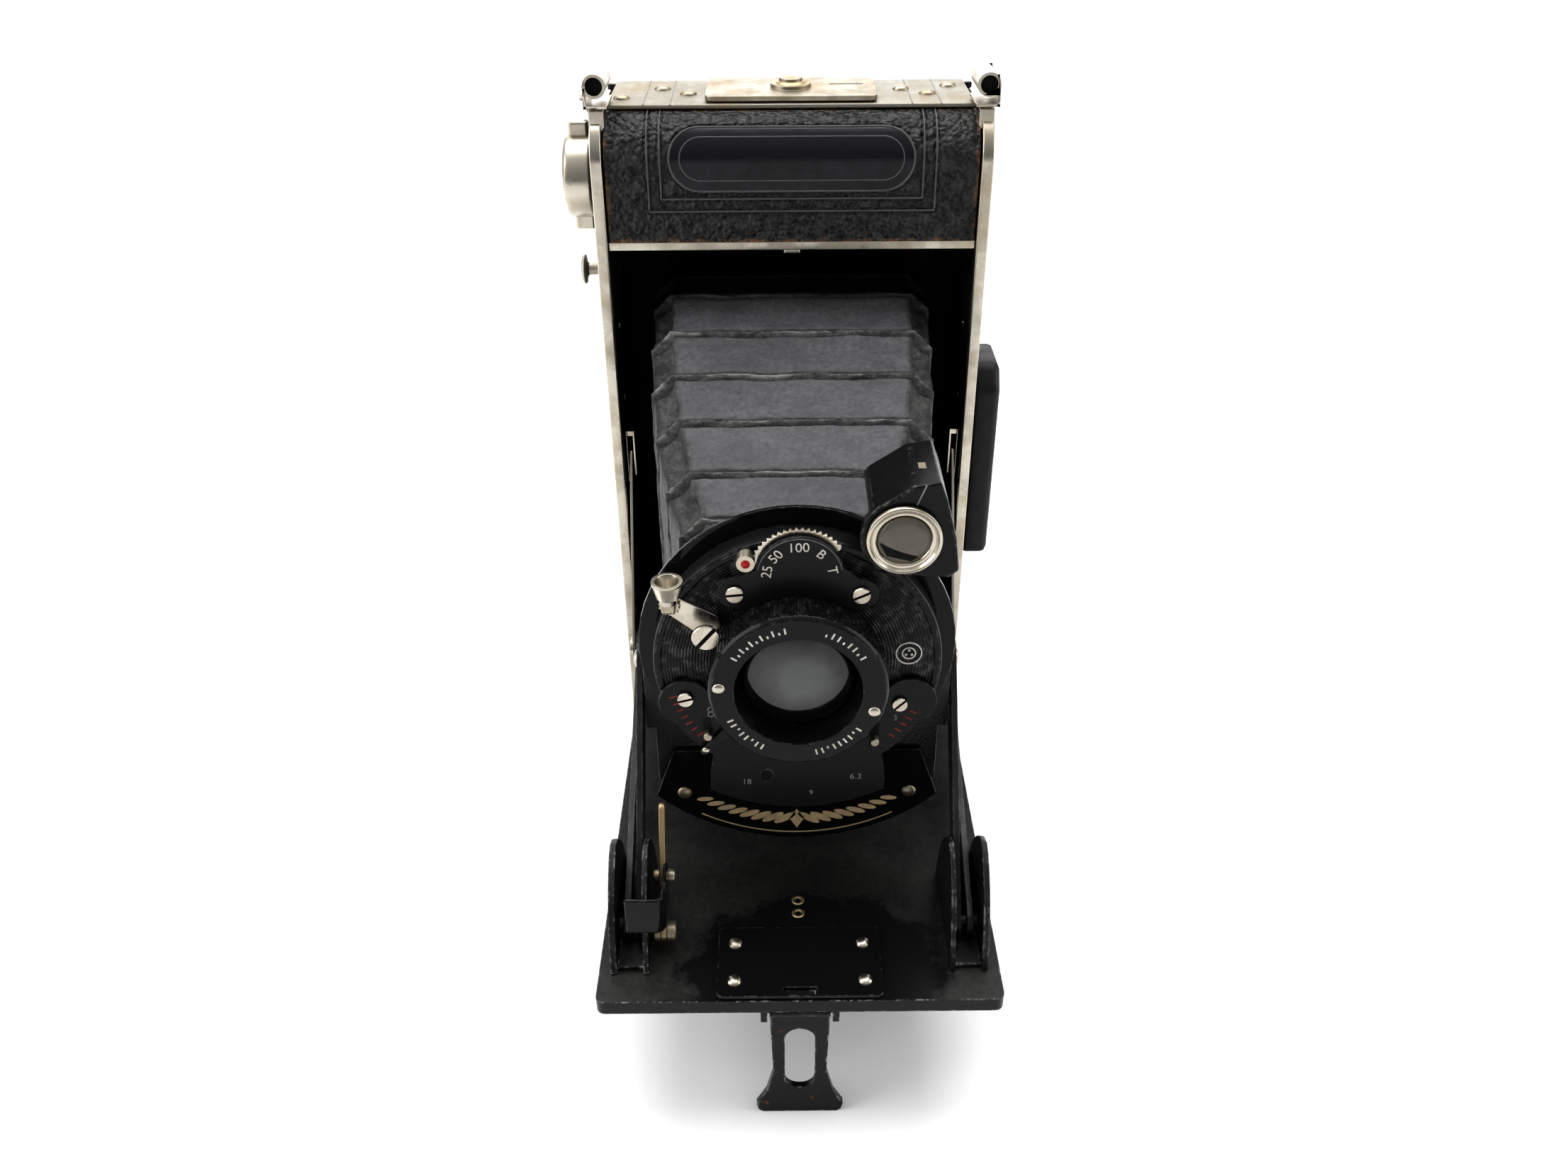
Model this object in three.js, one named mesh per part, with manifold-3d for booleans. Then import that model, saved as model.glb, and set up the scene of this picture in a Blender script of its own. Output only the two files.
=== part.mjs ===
// Folding roll-film camera, standing open on its bottom end and its bed leg.
// Millimetres. Origin: centre of the body's bottom face. +Z up, the lens looks along -Y.
import * as THREE from 'three';
import { mergeVertices } from 'three/addons/utils/BufferGeometryUtils.js';
import Module from 'manifold-3d';

const wasm = await Module();
wasm.setup();

// ---------- driving dimensions ----------
const GAP = 0.3;                    // clearance between touching pieces
const BODY = { halfWidth: 40, halfDepth: 18, height: 164, corner: 9 };
const RIM = { width: 2.4, thickness: 1.6 };
const OPENING = { bottom: 30, top: 137.4 };
const INNER_HALF = BODY.halfWidth - RIM.width - GAP;          // half width between the side walls
const BED = { hingeY: -16.5, hingeZ: 31.5, halfWidth: 37.15, frontY: -121.3, thickness: 3, corner: 1.6 };
const BED_TOP = BED.hingeZ + BED.thickness / 2;
const ARM_FOOT = { y: -106, z: 37 };            // pin through the bed brackets
const ARM_HEAD = { y: -76, z: 77 };             // pin through the standard's flanges
const STRUT_HEAD = { y: -34, z: 50.4 };
const LINK_HEAD = { y: -13, z: 89 };
const AXIS_Z = 85.5;                            // lens axis height
const BOARD_Y = -82.2;                          // front face of the lens board
const SHUTTER = { plateRadius: 29, radius: 26, plateY: -84.3, frontY: -90 };
const GATE = { y: 12.2, thickness: 1, halfWidth: 28, bottom: 42, top: 126 };
const SPOOL = { y: -3.5, topZ: 149.3, bottomZ: 14.5, radius: 10.3, halfLength: 32 };
const KEY = { y: -3.5, z: 149.3, radius: 8.5, innerX: -40.4, outerX: -46.8 };
const BUTTON = { z: 128, outerX: -46, radius: 3.3, stem: 1.3 };
const BACK = { hingeY: 17, hingeZ: 1.6, innerY: 16.6 };
const LEG = { y: -119.5, pivotZ: 28.4, topHalf: 5.6, footHalf: 8.35, thickness: 1.2 };

// ---------- materials ----------
const finishes = {
  enamel: { color: 0x0b0b0c, roughness: 0.35, metalness: 0.1 },
  crinkle: { color: 0x17171a, roughness: 0.6, metalness: 0.1 },
  leather: { color: 0x111112, roughness: 0.7, metalness: 0 },
  bellows: { color: 0x3a3b3e, roughness: 0.8, metalness: 0 },
  nickel: { color: 0xb9b0a0, roughness: 0.3, metalness: 1 },
  brass: { color: 0xa58a52, roughness: 0.4, metalness: 1 },
  glass: { color: 0x8a9096, roughness: 0.05, metalness: 0 },
  red: { color: 0x8a1010, roughness: 0.2, metalness: 0 },
  wood: { color: 0x1b1a19, roughness: 0.5, metalness: 0 },
};

// ---------- solids ----------
function toManifold(geometry) {
  const bare = geometry.clone();
  for (const key of Object.keys(bare.attributes)) if (key !== 'position') bare.deleteAttribute(key);
  const merged = mergeVertices(bare, 1e-4);
  return new wasm.Manifold(new wasm.Mesh({
    numProp: 3,
    vertProperties: new Float32Array(merged.attributes.position.array),
    triVerts: new Uint32Array(merged.index.array),
  }));
}

function toGeometry(manifold) {
  const mesh = manifold.getMesh();
  const geometry = new THREE.BufferGeometry();
  geometry.setAttribute('position', new THREE.BufferAttribute(mesh.vertProperties, 3));
  geometry.setIndex(new THREE.BufferAttribute(mesh.triVerts, 1));
  return geometry;
}

function join(first, ...others) {
  return toGeometry(others.reduce((sum, g) => sum.add(toManifold(g)), toManifold(first)));
}

function cut(first, ...tools) {
  return toGeometry(tools.reduce((rest, g) => rest.subtract(toManifold(g)), toManifold(first)));
}

function box(x0, x1, y0, y1, z0, z1) {
  const g = new THREE.BoxGeometry(x1 - x0, y1 - y0, z1 - z0);
  return g.translate((x0 + x1) / 2, (y0 + y1) / 2, (z0 + z1) / 2);
}

// rods and discs along each axis, from one end face to the other
function rodX(x0, x1, y, z, r, sides = 24) {
  return new THREE.CylinderGeometry(r, r, x1 - x0, sides).rotateZ(Math.PI / 2).translate((x0 + x1) / 2, y, z);
}
function rodY(y0, y1, x, z, r, sides = 24) {
  return new THREE.CylinderGeometry(r, r, y1 - y0, sides).translate(x, (y0 + y1) / 2, z);
}
function rodZ(z0, z1, x, y, r, sides = 24) {
  return new THREE.CylinderGeometry(r, r, z1 - z0, sides).rotateX(Math.PI / 2).translate(x, y, (z0 + z1) / 2);
}

function shapeOf(points) {
  return new THREE.Shape(points.map(([a, b]) => new THREE.Vector2(a, b)));
}

// outlines extruded along each axis: (y, z) along X, (x, z) along Y, (x, y) along Z
function plateX(shape, x0, x1, curveSegments = 8) {
  const g = new THREE.ExtrudeGeometry(shape, { depth: x1 - x0, bevelEnabled: false, curveSegments });
  g.applyMatrix4(new THREE.Matrix4().set(0, 0, 1, x0, 1, 0, 0, 0, 0, 1, 0, 0, 0, 0, 0, 1));
  return g;
}
function plateY(shape, y0, y1, curveSegments = 12) {
  const g = new THREE.ExtrudeGeometry(shape, { depth: y1 - y0, bevelEnabled: false, curveSegments });
  g.applyMatrix4(new THREE.Matrix4().set(1, 0, 0, 0, 0, 0, -1, y1, 0, 1, 0, 0, 0, 0, 0, 1));
  return g;
}
function plateZ(shape, z0, z1, curveSegments = 8) {
  const g = new THREE.ExtrudeGeometry(shape, { depth: z1 - z0, bevelEnabled: false, curveSegments });
  return g.translate(0, 0, z0);
}

// a profile of [radius, y] turned round the lens axis, closed on itself
function turned(profile, sides = 40) {
  const ends = profile[0][0] === 0 ? [] : [profile[0]];
  const closed = [...profile, ...ends].map(([r, y]) => new THREE.Vector2(r, y));
  return new THREE.LatheGeometry(closed, sides).translate(0, 0, AXIS_Z);
}

function arcPoints(cx, cy, radius, from, to, steps) {
  return Array.from({ length: steps + 1 }, (_, i) => {
    const a = THREE.MathUtils.degToRad(from + (to - from) * i / steps);
    return [cx + radius * Math.cos(a), cy + radius * Math.sin(a)];
  });
}

// a bar with round ends between two points of a plane
function barShape(a, b, radiusA, radiusB = radiusA) {
  const angle = THREE.MathUtils.radToDeg(Math.atan2(b[1] - a[1], b[0] - a[0]));
  return shapeOf([
    ...arcPoints(a[0], a[1], radiusA, angle + 90, angle + 270, 8),
    ...arcPoints(b[0], b[1], radiusB, angle - 90, angle + 90, 8),
  ]);
}

function roundedBox2D(a0, a1, b0, b1, r, steps = 4) {
  return shapeOf([
    ...arcPoints(a1 - r, b1 - r, r, 0, 90, steps), ...arcPoints(a0 + r, b1 - r, r, 90, 180, steps),
    ...arcPoints(a0 + r, b0 + r, r, 180, 270, steps), ...arcPoints(a1 - r, b0 + r, r, 270, 360, steps),
  ]);
}

// points of the body's side outline, inset, running up the front from the bottom to the top
function frontOutline(inset, bottomY, topY) {
  const r = BODY.corner - inset;
  const frontY = -BODY.halfDepth + BODY.corner;
  return [
    [bottomY, inset],
    ...arcPoints(frontY, BODY.corner, r, 270, 180, 6),
    ...arcPoints(frontY, BODY.height - BODY.corner, r, 180, 90, 6),
    [topY, BODY.height - inset],
  ];
}

// ---------- scene graph ----------
const camera = new THREE.Group();

function add(name, geometry, finish, parent = camera) {
  const mesh = new THREE.Mesh(geometry, new THREE.MeshStandardMaterial(finishes[finish]));
  mesh.name = name;
  parent.add(mesh);
  return mesh;
}

// both hands of a piece: the builder gets +1 for the right side and -1 for the left
function addPair(name, build, finish) {
  for (const side of [-1, 1]) add(`${side < 0 ? 'left' : 'right'}_${name}`, build(side), finish);
}
function spanX(side, inner, outer) {
  return side > 0 ? [inner, outer] : [-outer, -inner];
}

// ---------- body ----------
const wallInner = BODY.halfWidth - RIM.width;
const backEnd = BACK.innerY - GAP;

addPair('side_wall', (side) => {
  const outline = frontOutline(RIM.thickness + GAP, backEnd, backEnd);
  const [x0, x1] = spanX(side, wallInner, wallInner + 1.8);
  const wall = plateX(shapeOf(outline), x0, x1);
  if (side > 0) return wall;
  const keyHole = rodX(x0 - 1, x1 + 1, KEY.y, KEY.z, 3.4);
  const buttonHole = rodX(x0 - 1, x1 + 1, 0, BUTTON.z, 1.6);
  return cut(wall, keyHole, buttonHole);
}, 'leather');

addPair('rim', (side) => {
  const outer = frontOutline(0, -4, 8);
  const inner = frontOutline(RIM.thickness, -4, 8).reverse();
  return plateX(shapeOf([...outer, ...inner]), ...spanX(side, wallInner, BODY.halfWidth));
}, 'nickel');

function chamberCover(fromZ, toZ) {
  const band = (inset) => frontOutline(inset, backEnd - 1.3, backEnd);   // its bottom stops behind the hinge
  const shell = plateX(shapeOf([...band(0.8), ...band(2).reverse()]), -INNER_HALF, INNER_HALF);
  return cut(shell, box(-50, 50, -30, 30, fromZ, toZ));
}
add('top_chamber_cover', chamberCover(-10, OPENING.top + 0.2), 'leather');
add('bottom_chamber_cover', chamberCover(OPENING.bottom - 0.6, 200), 'leather');

const gateBack = GATE.y + GATE.thickness;
const gatePlate = box(-INNER_HALF, INNER_HALF, GATE.y, gateBack, 27.6, 138.4);
const gateHole = box(-GATE.halfWidth, GATE.halfWidth, GATE.y - 1, gateBack + 1, GATE.bottom, GATE.top);
add('film_gate', join(
  cut(gatePlate, gateHole),
  box(-INNER_HALF, INNER_HALF, -15.9, GATE.y + 0.2, 137.4, 138.4),
  box(-INNER_HALF, INNER_HALF, -15.9, GATE.y + 0.2, 27.6, 28.6),
), 'enamel');

add('top_plate', box(-37, 37, -9, 14, BODY.height - 0.5, BODY.height + 0.5), 'nickel');
add('base_plate', box(-37, 37, -9, 14, 0, 0.5), 'nickel');
const latchZ = BODY.height + 0.8;
add('back_latch', join(
  plateZ(roundedBox2D(-17.3, 17.3, -8, 10, 1.5), latchZ, latchZ + 1),
  rodZ(latchZ + 0.5, latchZ + 1.8, 0, 1, 4.2, 32),
  rodZ(latchZ + 1, latchZ + 2.8, 0, 1, 2.4, 24),
), 'nickel');

addPair('strap_lug', (side) => {
  const z = BODY.height + 5.4;
  const tube = cut(rodY(-5, 5, 0, 0, 2.1, 16), rodY(-6, 6, 0, 0, 1.3, 12));
  const foot = box(-1.6, 1.6, -4.4, 4.4, -4.4, -1.5);
  return join(tube, foot).rotateZ(side * 0.14).translate(side * 37.9, -10, z);
}, 'nickel');

const handleShape = shapeOf([[-10.5, 60.5], [-10.5, 103], [-7, 108], [6.5, 108], [6.5, 60.5]]);
add('carrying_handle', plateX(handleShape, BODY.halfWidth + GAP, BODY.halfWidth + 6.8), 'leather');

addPair('pivot_bracket', (side) => join(
  box(...spanX(side, 36.95, 37.3), -14.6, -9, 83, 95.5),
  box(...spanX(side, 35.3, 35.8), -14.4, -11, 84.5, 95.5),
  box(...spanX(side, 35.3, 37.3), -14.4, -11, 94.3, 95.5),
), 'nickel');

add('bed_hinge_pin', rodX(-INNER_HALF, INNER_HALF, BED.hingeY, BED.hingeZ, 0.8, 12), 'nickel');
add('back_hinge_pin', rodX(-39.4, 39.4, BACK.hingeY, BACK.hingeZ, 0.7, 12), 'nickel');

// ---------- bellows: a plain tapered tube, open at both ends ----------
function bellowsRing(halfWidth, bottom, top, chamfer) {
  return [[halfWidth, bottom + chamfer], [halfWidth, top - chamfer], [halfWidth - chamfer, top],
    [chamfer - halfWidth, top], [-halfWidth, top - chamfer], [-halfWidth, bottom + chamfer],
    [chamfer - halfWidth, bottom], [halfWidth - chamfer, bottom]];
}
function frustum(rear, front, yRear, yFront) {
  const positions = [];
  const point = ([x, z], y) => [x, y, z];
  const push = (...corners) => corners.forEach((c) => positions.push(...c));
  const count = rear.length;
  for (let i = 0; i < count; i += 1) {
    const j = (i + 1) % count;
    const [a, b] = [point(rear[i], yRear), point(rear[j], yRear)];
    const [c, d] = [point(front[i], yFront), point(front[j], yFront)];
    push(a, b, c, b, d, c);
    if (i > 0 && i < count - 1) {
      push(point(rear[0], yRear), b, a);
      push(point(front[0], yFront), c, d);
    }
  }
  const g = new THREE.BufferGeometry();
  g.setAttribute('position', new THREE.Float32BufferAttribute(positions, 3));
  return g;
}
const BELLOWS = {
  rearY: GATE.y - GAP, frontY: BOARD_Y + 1.2 + GAP, rearHalf: 28.7, frontHalf: 17, wall: 1.2,
};
const bellowsBody = (inset, extra) => frustum(
  bellowsRing(BELLOWS.rearHalf - inset, 41 + inset, 127.5 - inset, 6),
  bellowsRing(BELLOWS.frontHalf - inset, AXIS_Z - 19 + inset, AXIS_Z + 19 - inset, 4),
  BELLOWS.rearY + extra, BELLOWS.frontY - extra,
);
add('bellows', cut(bellowsBody(0, 0), bellowsBody(BELLOWS.wall, 0.5)), 'bellows');

// ---------- spools, rollers and winding key ----------
function spool(z) {
  const flange = (x) => rodX(x, x + 0.8, SPOOL.y, z, SPOOL.radius, 32);
  return join(rodX(-SPOOL.halfLength, SPOOL.halfLength, SPOOL.y, z, 4, 20),
    flange(-SPOOL.halfLength), flange(SPOOL.halfLength - 0.8));
}
add('take_up_spool', join(spool(SPOOL.topZ), rodX(KEY.innerX + GAP, -31.5, KEY.y, KEY.z, 2.8, 20)), 'wood');
add('supply_spool', spool(SPOOL.bottomZ), 'wood');
add('upper_roller', rodX(-34, 34, 9.2, 134.6, 1.9, 16), 'nickel');
add('lower_roller', rodX(-34, 34, 9.2, 32.2, 1.9, 16), 'nickel');

add('winding_key', join(
  rodX(KEY.outerX, KEY.innerX, KEY.y, KEY.z, KEY.radius, 40),
  box(-44.2, -41.4, KEY.y - 1.5, KEY.y + 1.5, KEY.z - 11.2, KEY.z + 11.2),
), 'nickel');

add('door_button', join(
  rodX(BUTTON.outerX, -44.6, 0, BUTTON.z, BUTTON.radius, 24),
  rodX(-45, -38, 0, BUTTON.z, BUTTON.stem, 16),
), 'nickel');

// ---------- back door ----------
const backPlate = box(-39.4, 39.4, BACK.innerY, BODY.halfDepth, BACK.hingeZ, 163.2);
const backKnuckle = rodX(-INNER_HALF, INNER_HALF, BACK.hingeY, BACK.hingeZ, 1.4, 16);
const backHole = rodX(-41, 41, BACK.hingeY, BACK.hingeZ, 1, 16);
const windowHole = rodY(BACK.innerY - 1, BODY.halfDepth + 1, 0, 60, 5.3, 32);
add('back_door', cut(join(backPlate, backKnuckle), backHole, windowHole), 'leather');
add('red_window', rodY(BACK.innerY + 0.3, BODY.halfDepth - 0.3, 0, 60, 5, 32), 'red');
add('pressure_plate', cut(box(-31, 31, 13.8, 14.5, 40, 128), rodY(13, 15, 0, 60, 4.5, 24)), 'enamel');
add('pressure_spring', box(-5, 5, 14.8, 15.2, 72, 116), 'brass');

// ---------- bed ----------
const bedOutline = shapeOf([
  [BED.halfWidth, BED.hingeY], [-BED.halfWidth, BED.hingeY],
  ...arcPoints(-BED.halfWidth + BED.corner, BED.frontY + BED.corner, BED.corner, 180, 270, 5),
  ...arcPoints(BED.halfWidth - BED.corner, BED.frontY + BED.corner, BED.corner, 270, 360, 5),
]);
const bedBottom = BED_TOP - BED.thickness;
const legEar = (side) => box(...spanX(side, 6, 7.2), -121, -118, 27, bedBottom + 0.5);
add('bed', cut(join(
  plateZ(bedOutline, bedBottom, BED_TOP),
  rodX(-BED.halfWidth, BED.halfWidth, BED.hingeY, BED.hingeZ, BED.thickness / 2, 16),
  legEar(-1), legEar(1), rodX(-6.5, 6.5, LEG.y, LEG.pivotZ, 0.5, 12),
), rodX(-40, 40, BED.hingeY, BED.hingeZ, 1.1, 16)), 'enamel');

add('catch_plate', cut(
  plateZ(roundedBox2D(-15.2, 15.2, -121, -104.4, 1), BED_TOP + GAP, BED_TOP + 1),
  box(-3, 3, -120.6, -119, BED_TOP - 1, BED_TOP + 2),
), 'enamel');

// each bracket is a channel with two arched cheeks and the arm pin across it
const cheek = (from, to, height) => {
  const foot = BED_TOP + GAP;
  const arch = new THREE.SplineCurve([[-89, foot], [-93.5, foot + height * 0.62], [-102, foot + height],
    [-110.5, foot + height * 0.66], [-115, foot]].map(([y, z]) => new THREE.Vector2(y, z)));
  return plateX(shapeOf(arch.getPoints(14).map((p) => [p.x, p.y])), from, to);
};
addPair('bed_bracket', (side) => join(
  cheek(...spanX(side, 27.8, 28.8), 20),
  cheek(...spanX(side, 33.7, 34.9), 20),
  box(...spanX(side, 27.8, 34.9), -114, -90, BED_TOP + GAP, BED_TOP + 1.1),
  rodX(...spanX(side, 28, 34.4), ARM_FOOT.y, ARM_FOOT.z, 1.1, 16),
), 'enamel');

const BUSH = { y: -62, radius: 7.5, bore: 4.8 };
add('tripod_bush', cut(
  rodZ(25, bedBottom - GAP, 0, BUSH.y, BUSH.radius, 32), rodZ(24, bedBottom + 1, 0, BUSH.y, BUSH.bore, 32),
), 'nickel');

// ---------- leg ----------
const slot = roundedBox2D(-2.85, 2.85, 7.2, 24, 2.8, 6);
const legSide = (side) => [[5, 12], [6.4, 6], [LEG.footHalf, 2.2], [LEG.footHalf - 0.4, 0.7], [7.2, 0]]
  .map(([x, z]) => [side * x, z]);
const legOutline = shapeOf([
  [LEG.topHalf, LEG.pivotZ], ...legSide(1), ...legSide(-1).reverse(), [-LEG.topHalf, LEG.pivotZ],
]);
add('table_leg', cut(join(
  plateY(legOutline, LEG.y - LEG.thickness / 2, LEG.y + LEG.thickness / 2),
  rodX(-LEG.topHalf, LEG.topHalf, LEG.y, LEG.pivotZ, 1.2, 16),
), plateY(slot, -125, -115), rodX(-10, 10, LEG.y, LEG.pivotZ, 0.8, 16)), 'enamel');

// ---------- arms, struts and links ----------
addPair('standard_arm', (side) => {
  const bar = barShape([ARM_FOOT.y, ARM_FOOT.z], [ARM_HEAD.y, ARM_HEAD.z], 2.5, 3);
  const plate = cut(plateX(bar, ...spanX(side, 29.2, 30.4)),
    rodX(-40, 40, ARM_FOOT.y, ARM_FOOT.z, 1.4, 16));
  return join(plate, rodX(...spanX(side, 26.8, 29.6), ARM_HEAD.y, ARM_HEAD.z, 1.2, 16));
}, 'crinkle');

// each strut leans outwards from its foot in the bracket to its head beside the body
const STRUT_LEAN = 2.8;
addPair('strut', (side) => {
  const bar = barShape([ARM_FOOT.y, ARM_FOOT.z], [STRUT_HEAD.y, STRUT_HEAD.z], 2.5, 4);
  const plate = cut(plateX(bar, ...spanX(side, 31.6, 32.8)),
    rodX(-40, 40, ARM_FOOT.y, ARM_FOOT.z, 1.6, 16));
  const lean = STRUT_LEAN / (STRUT_HEAD.y - ARM_FOOT.y);
  return plate.applyMatrix4(new THREE.Matrix4().set(
    1, side * lean, 0, -side * lean * ARM_FOOT.y, 0, 1, 0, 0, 0, 0, 1, 0, 0, 0, 0, 1));
}, 'crinkle');

const linkShape = barShape([LINK_HEAD.y, LINK_HEAD.z], [STRUT_HEAD.y, STRUT_HEAD.z], 1.6, 2);
addPair('link', (side) => join(
  plateX(linkShape, ...spanX(side, 36.1, 36.7)),
  rodX(...spanX(side, 36.4, 37.2), STRUT_HEAD.y, STRUT_HEAD.z, 2.4, 20),
), 'nickel');

// lever beside the left bracket that frees the struts, with its bent finger tab
const RELEASE = { x: -25.2, footY: -108, footZ: 37, headY: -98, headZ: 59 };
const releaseShape = barShape([RELEASE.footY, RELEASE.footZ], [RELEASE.headY, RELEASE.headZ], 1.6, 1.2);
add('strut_release', join(
  plateX(releaseShape, RELEASE.x - 0.4, RELEASE.x + 0.4),
  rodX(RELEASE.x - 1.6, RELEASE.x + 2.2, -103.5, 47, 1, 12),
  rodX(RELEASE.x - 1.6, RELEASE.x + 2.2, RELEASE.footY, RELEASE.footZ, 2, 16),
  box(-26.6, -25.4, -116.6, -108, 38.4, 44), box(-34, -25.4, -117.6, -116.4, 38.4, 44),
), 'brass');

// ---------- lens standard ----------
const boardBack = BOARD_Y + 1.2;
const channel = shapeOf([[-28.9, -73], [-28.9, BOARD_Y], [28.9, BOARD_Y], [28.9, -73],
  [27.7, -73], [27.7, boardBack], [-27.7, boardBack], [-27.7, -73]]);
add('lens_standard', cut(join(
  plateZ(channel, 65, 88), rodY(BOARD_Y, boardBack, 0, AXIS_Z, 24, 48),
  box(-27.2, 27.2, BOARD_Y, boardBack, 52, 66),
), rodY(-90, -70, 0, AXIS_Z, 13, 40), rodX(-40, 40, ARM_HEAD.y, ARM_HEAD.z, 1.5, 16)), 'crinkle');

const PLATE_RADIUS = 39.6;
add('name_plate', plateY(shapeOf([
  ...arcPoints(0, 37.4 + PLATE_RADIUS, PLATE_RADIUS, 225.5, 314.5, 20), [24, 60], [-24, 60],
]), BOARD_Y - 1.1, BOARD_Y - GAP), 'enamel');

const plateBack = SHUTTER.plateY + 0.8;
add('shutter_plate', turned([[13, plateBack], [13, SHUTTER.plateY], [SHUTTER.plateRadius, SHUTTER.plateY],
  [SHUTTER.plateRadius, plateBack]], 56), 'enamel');
const caseBack = SHUTTER.plateY - GAP;
add('shutter_case', turned([[12.2, SHUTTER.frontY], [SHUTTER.radius - 0.6, SHUTTER.frontY],
  [SHUTTER.radius, SHUTTER.frontY + 0.6], [SHUTTER.radius, caseBack], [SHUTTER.radius - 1.2, caseBack],
  [SHUTTER.radius - 1.2, SHUTTER.frontY + 1.2], [12.2, SHUTTER.frontY + 1.2]], 56), 'enamel');

add('rear_lens_cell', turned([[8.6, -86], [12.4, -86], [12.4, -78], [8.6, -78]], 32), 'enamel');
add('rear_lens', turned([[0, -83.6], [8.2, -82.6], [8.2, -80.6], [0, -79.4]], 32), 'glass');
add('shutter_blade', plateY(barShape([19, AXIS_Z], [0, AXIS_Z], 2.5, 11.4), -87.4, -86.9), 'brass');

// scale plate: a ring sector round the lower half, deeper at the bottom, with a round wing at each end
const plateFront = SHUTTER.frontY - GAP;
const SHEET = 0.7;                              // thickness of the thin plates on the shutter's face
const sector = [];
for (let a = 196; a <= 344; a += 4) {
  const depth = THREE.MathUtils.smoothstep(64 - Math.abs(a - 270), 26, 34);
  sector.push(...arcPoints(0, AXIS_Z, 25.6 + 7.4 * depth, a, a, 1).slice(0, 1));
}
const sectorShape = shapeOf([...sector, ...arcPoints(0, AXIS_Z, 17.8, 344, 196, 24)]);
const ringSector = plateY(sectorShape, plateFront - SHEET, plateFront);
const wing = (side) => rodY(plateFront - SHEET, plateFront, side * 20.4, AXIS_Z - 8, 5, 24);
add('scale_plate', join(ringSector, wing(-1), wing(1)), 'enamel');

// speed dial with its knurled edge, the index pin on it, and the plate in front of it
const DIAL = { x: 0.3, z: 105, radius: 9, hub: 5.2, teeth: 21, firstTooth: 35 };
const dialPoints = Array.from({ length: DIAL.teeth * 2 + 1 }, (_, i) => {
  const a = THREE.MathUtils.degToRad(THREE.MathUtils.lerp(DIAL.firstTooth, 180, i / (DIAL.teeth * 2)));
  const r = i % 2 ? DIAL.radius : DIAL.radius - 0.55;
  return [DIAL.x + r * Math.cos(a), DIAL.z + r * Math.sin(a)];
});
const dialInner = arcPoints(DIAL.x, DIAL.z, DIAL.hub, 180, 360 + DIAL.firstTooth, 14);
const dialBack = SHUTTER.frontY - GAP;
add('speed_dial', join(
  plateY(shapeOf([...dialPoints, ...dialInner]), dialBack - 0.8, dialBack),
  rodY(dialBack - 2.6, dialBack - 0.1, DIAL.x - 9.2, DIAL.z + 3.2, 1.6, 20),
  plateY(barShape([DIAL.x - 7, DIAL.z + 2], [DIAL.x - 9.2, DIAL.z + 3.2], 1), dialBack - 0.8, dialBack),
), 'nickel');

const speedBack = dialBack - 0.8 - GAP;
add('speed_plate', plateY(shapeOf([
  ...arcPoints(DIAL.x, DIAL.z + 0.3, 7.7, 10, 170, 12),
  ...arcPoints(-10.9, 102, 3, 85, 255, 8),
  ...arcPoints(0, AXIS_Z, 15.6, 125, 55, 10),
  ...arcPoints(10.9, 101.6, 3, 285, 455, 8),
]), speedBack - 0.8, speedBack), 'enamel');

// release lever with the cable socket
const LEVER = { x: -16, z: 94.3, tipX: -22.3, tipZ: 98.6 };
const leverBack = SHUTTER.frontY - GAP;
add('release_lever', join(
  plateY(barShape([LEVER.x, LEVER.z], [LEVER.tipX, LEVER.tipZ], 2.6, 1.9), leverBack - 1, leverBack),
  rodY(leverBack - 1.8, leverBack - 0.5, LEVER.x, LEVER.z, 2.3, 24),
  rodZ(LEVER.tipZ - 0.5, LEVER.tipZ + 3.4, LEVER.tipX, leverBack - 1.9, 1.6, 20),
  new THREE.CylinderGeometry(2.8, 1.7, 3.4, 24).rotateX(Math.PI / 2)
    .translate(LEVER.tipX, leverBack - 1.9, LEVER.tipZ + 4.8),
), 'nickel');

// aperture ring with its pointer, under the focusing ring
const apertureBack = plateFront - SHEET - GAP;
const apertureFront = apertureBack - SHEET;
const pointer = barShape([0, 13.3], [0, 25.5], 0.9, 0.7);
const pointerTurn = THREE.MathUtils.degToRad(-137);
add('aperture_ring', join(
  turned([[12.3, apertureFront], [14.2, apertureFront], [14.2, apertureBack], [12.3, apertureBack]], 40),
  plateY(pointer, apertureFront, apertureBack).rotateY(pointerTurn).translate(0, 0, AXIS_Z),
), 'nickel');

const ringBack = apertureFront - GAP;
const threadBack = SHUTTER.frontY + 0.8;
add('focusing_ring', turned([
  [10.2, threadBack], [10.2, ringBack - 4.3], [12.6, ringBack - 6.7], [15.3, ringBack - 6.7],
  [15.9, ringBack - 5.3], [15.9, ringBack], [11.6, ringBack], [11.6, threadBack],
], 56), 'enamel');
add('front_lens', turned([
  [0, ringBack - 3.9], [6, ringBack - 3.5], [9.9, ringBack - 2.4], [9.9, ringBack - 0.7], [0, ringBack - 0.3],
], 40), 'glass');

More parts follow.
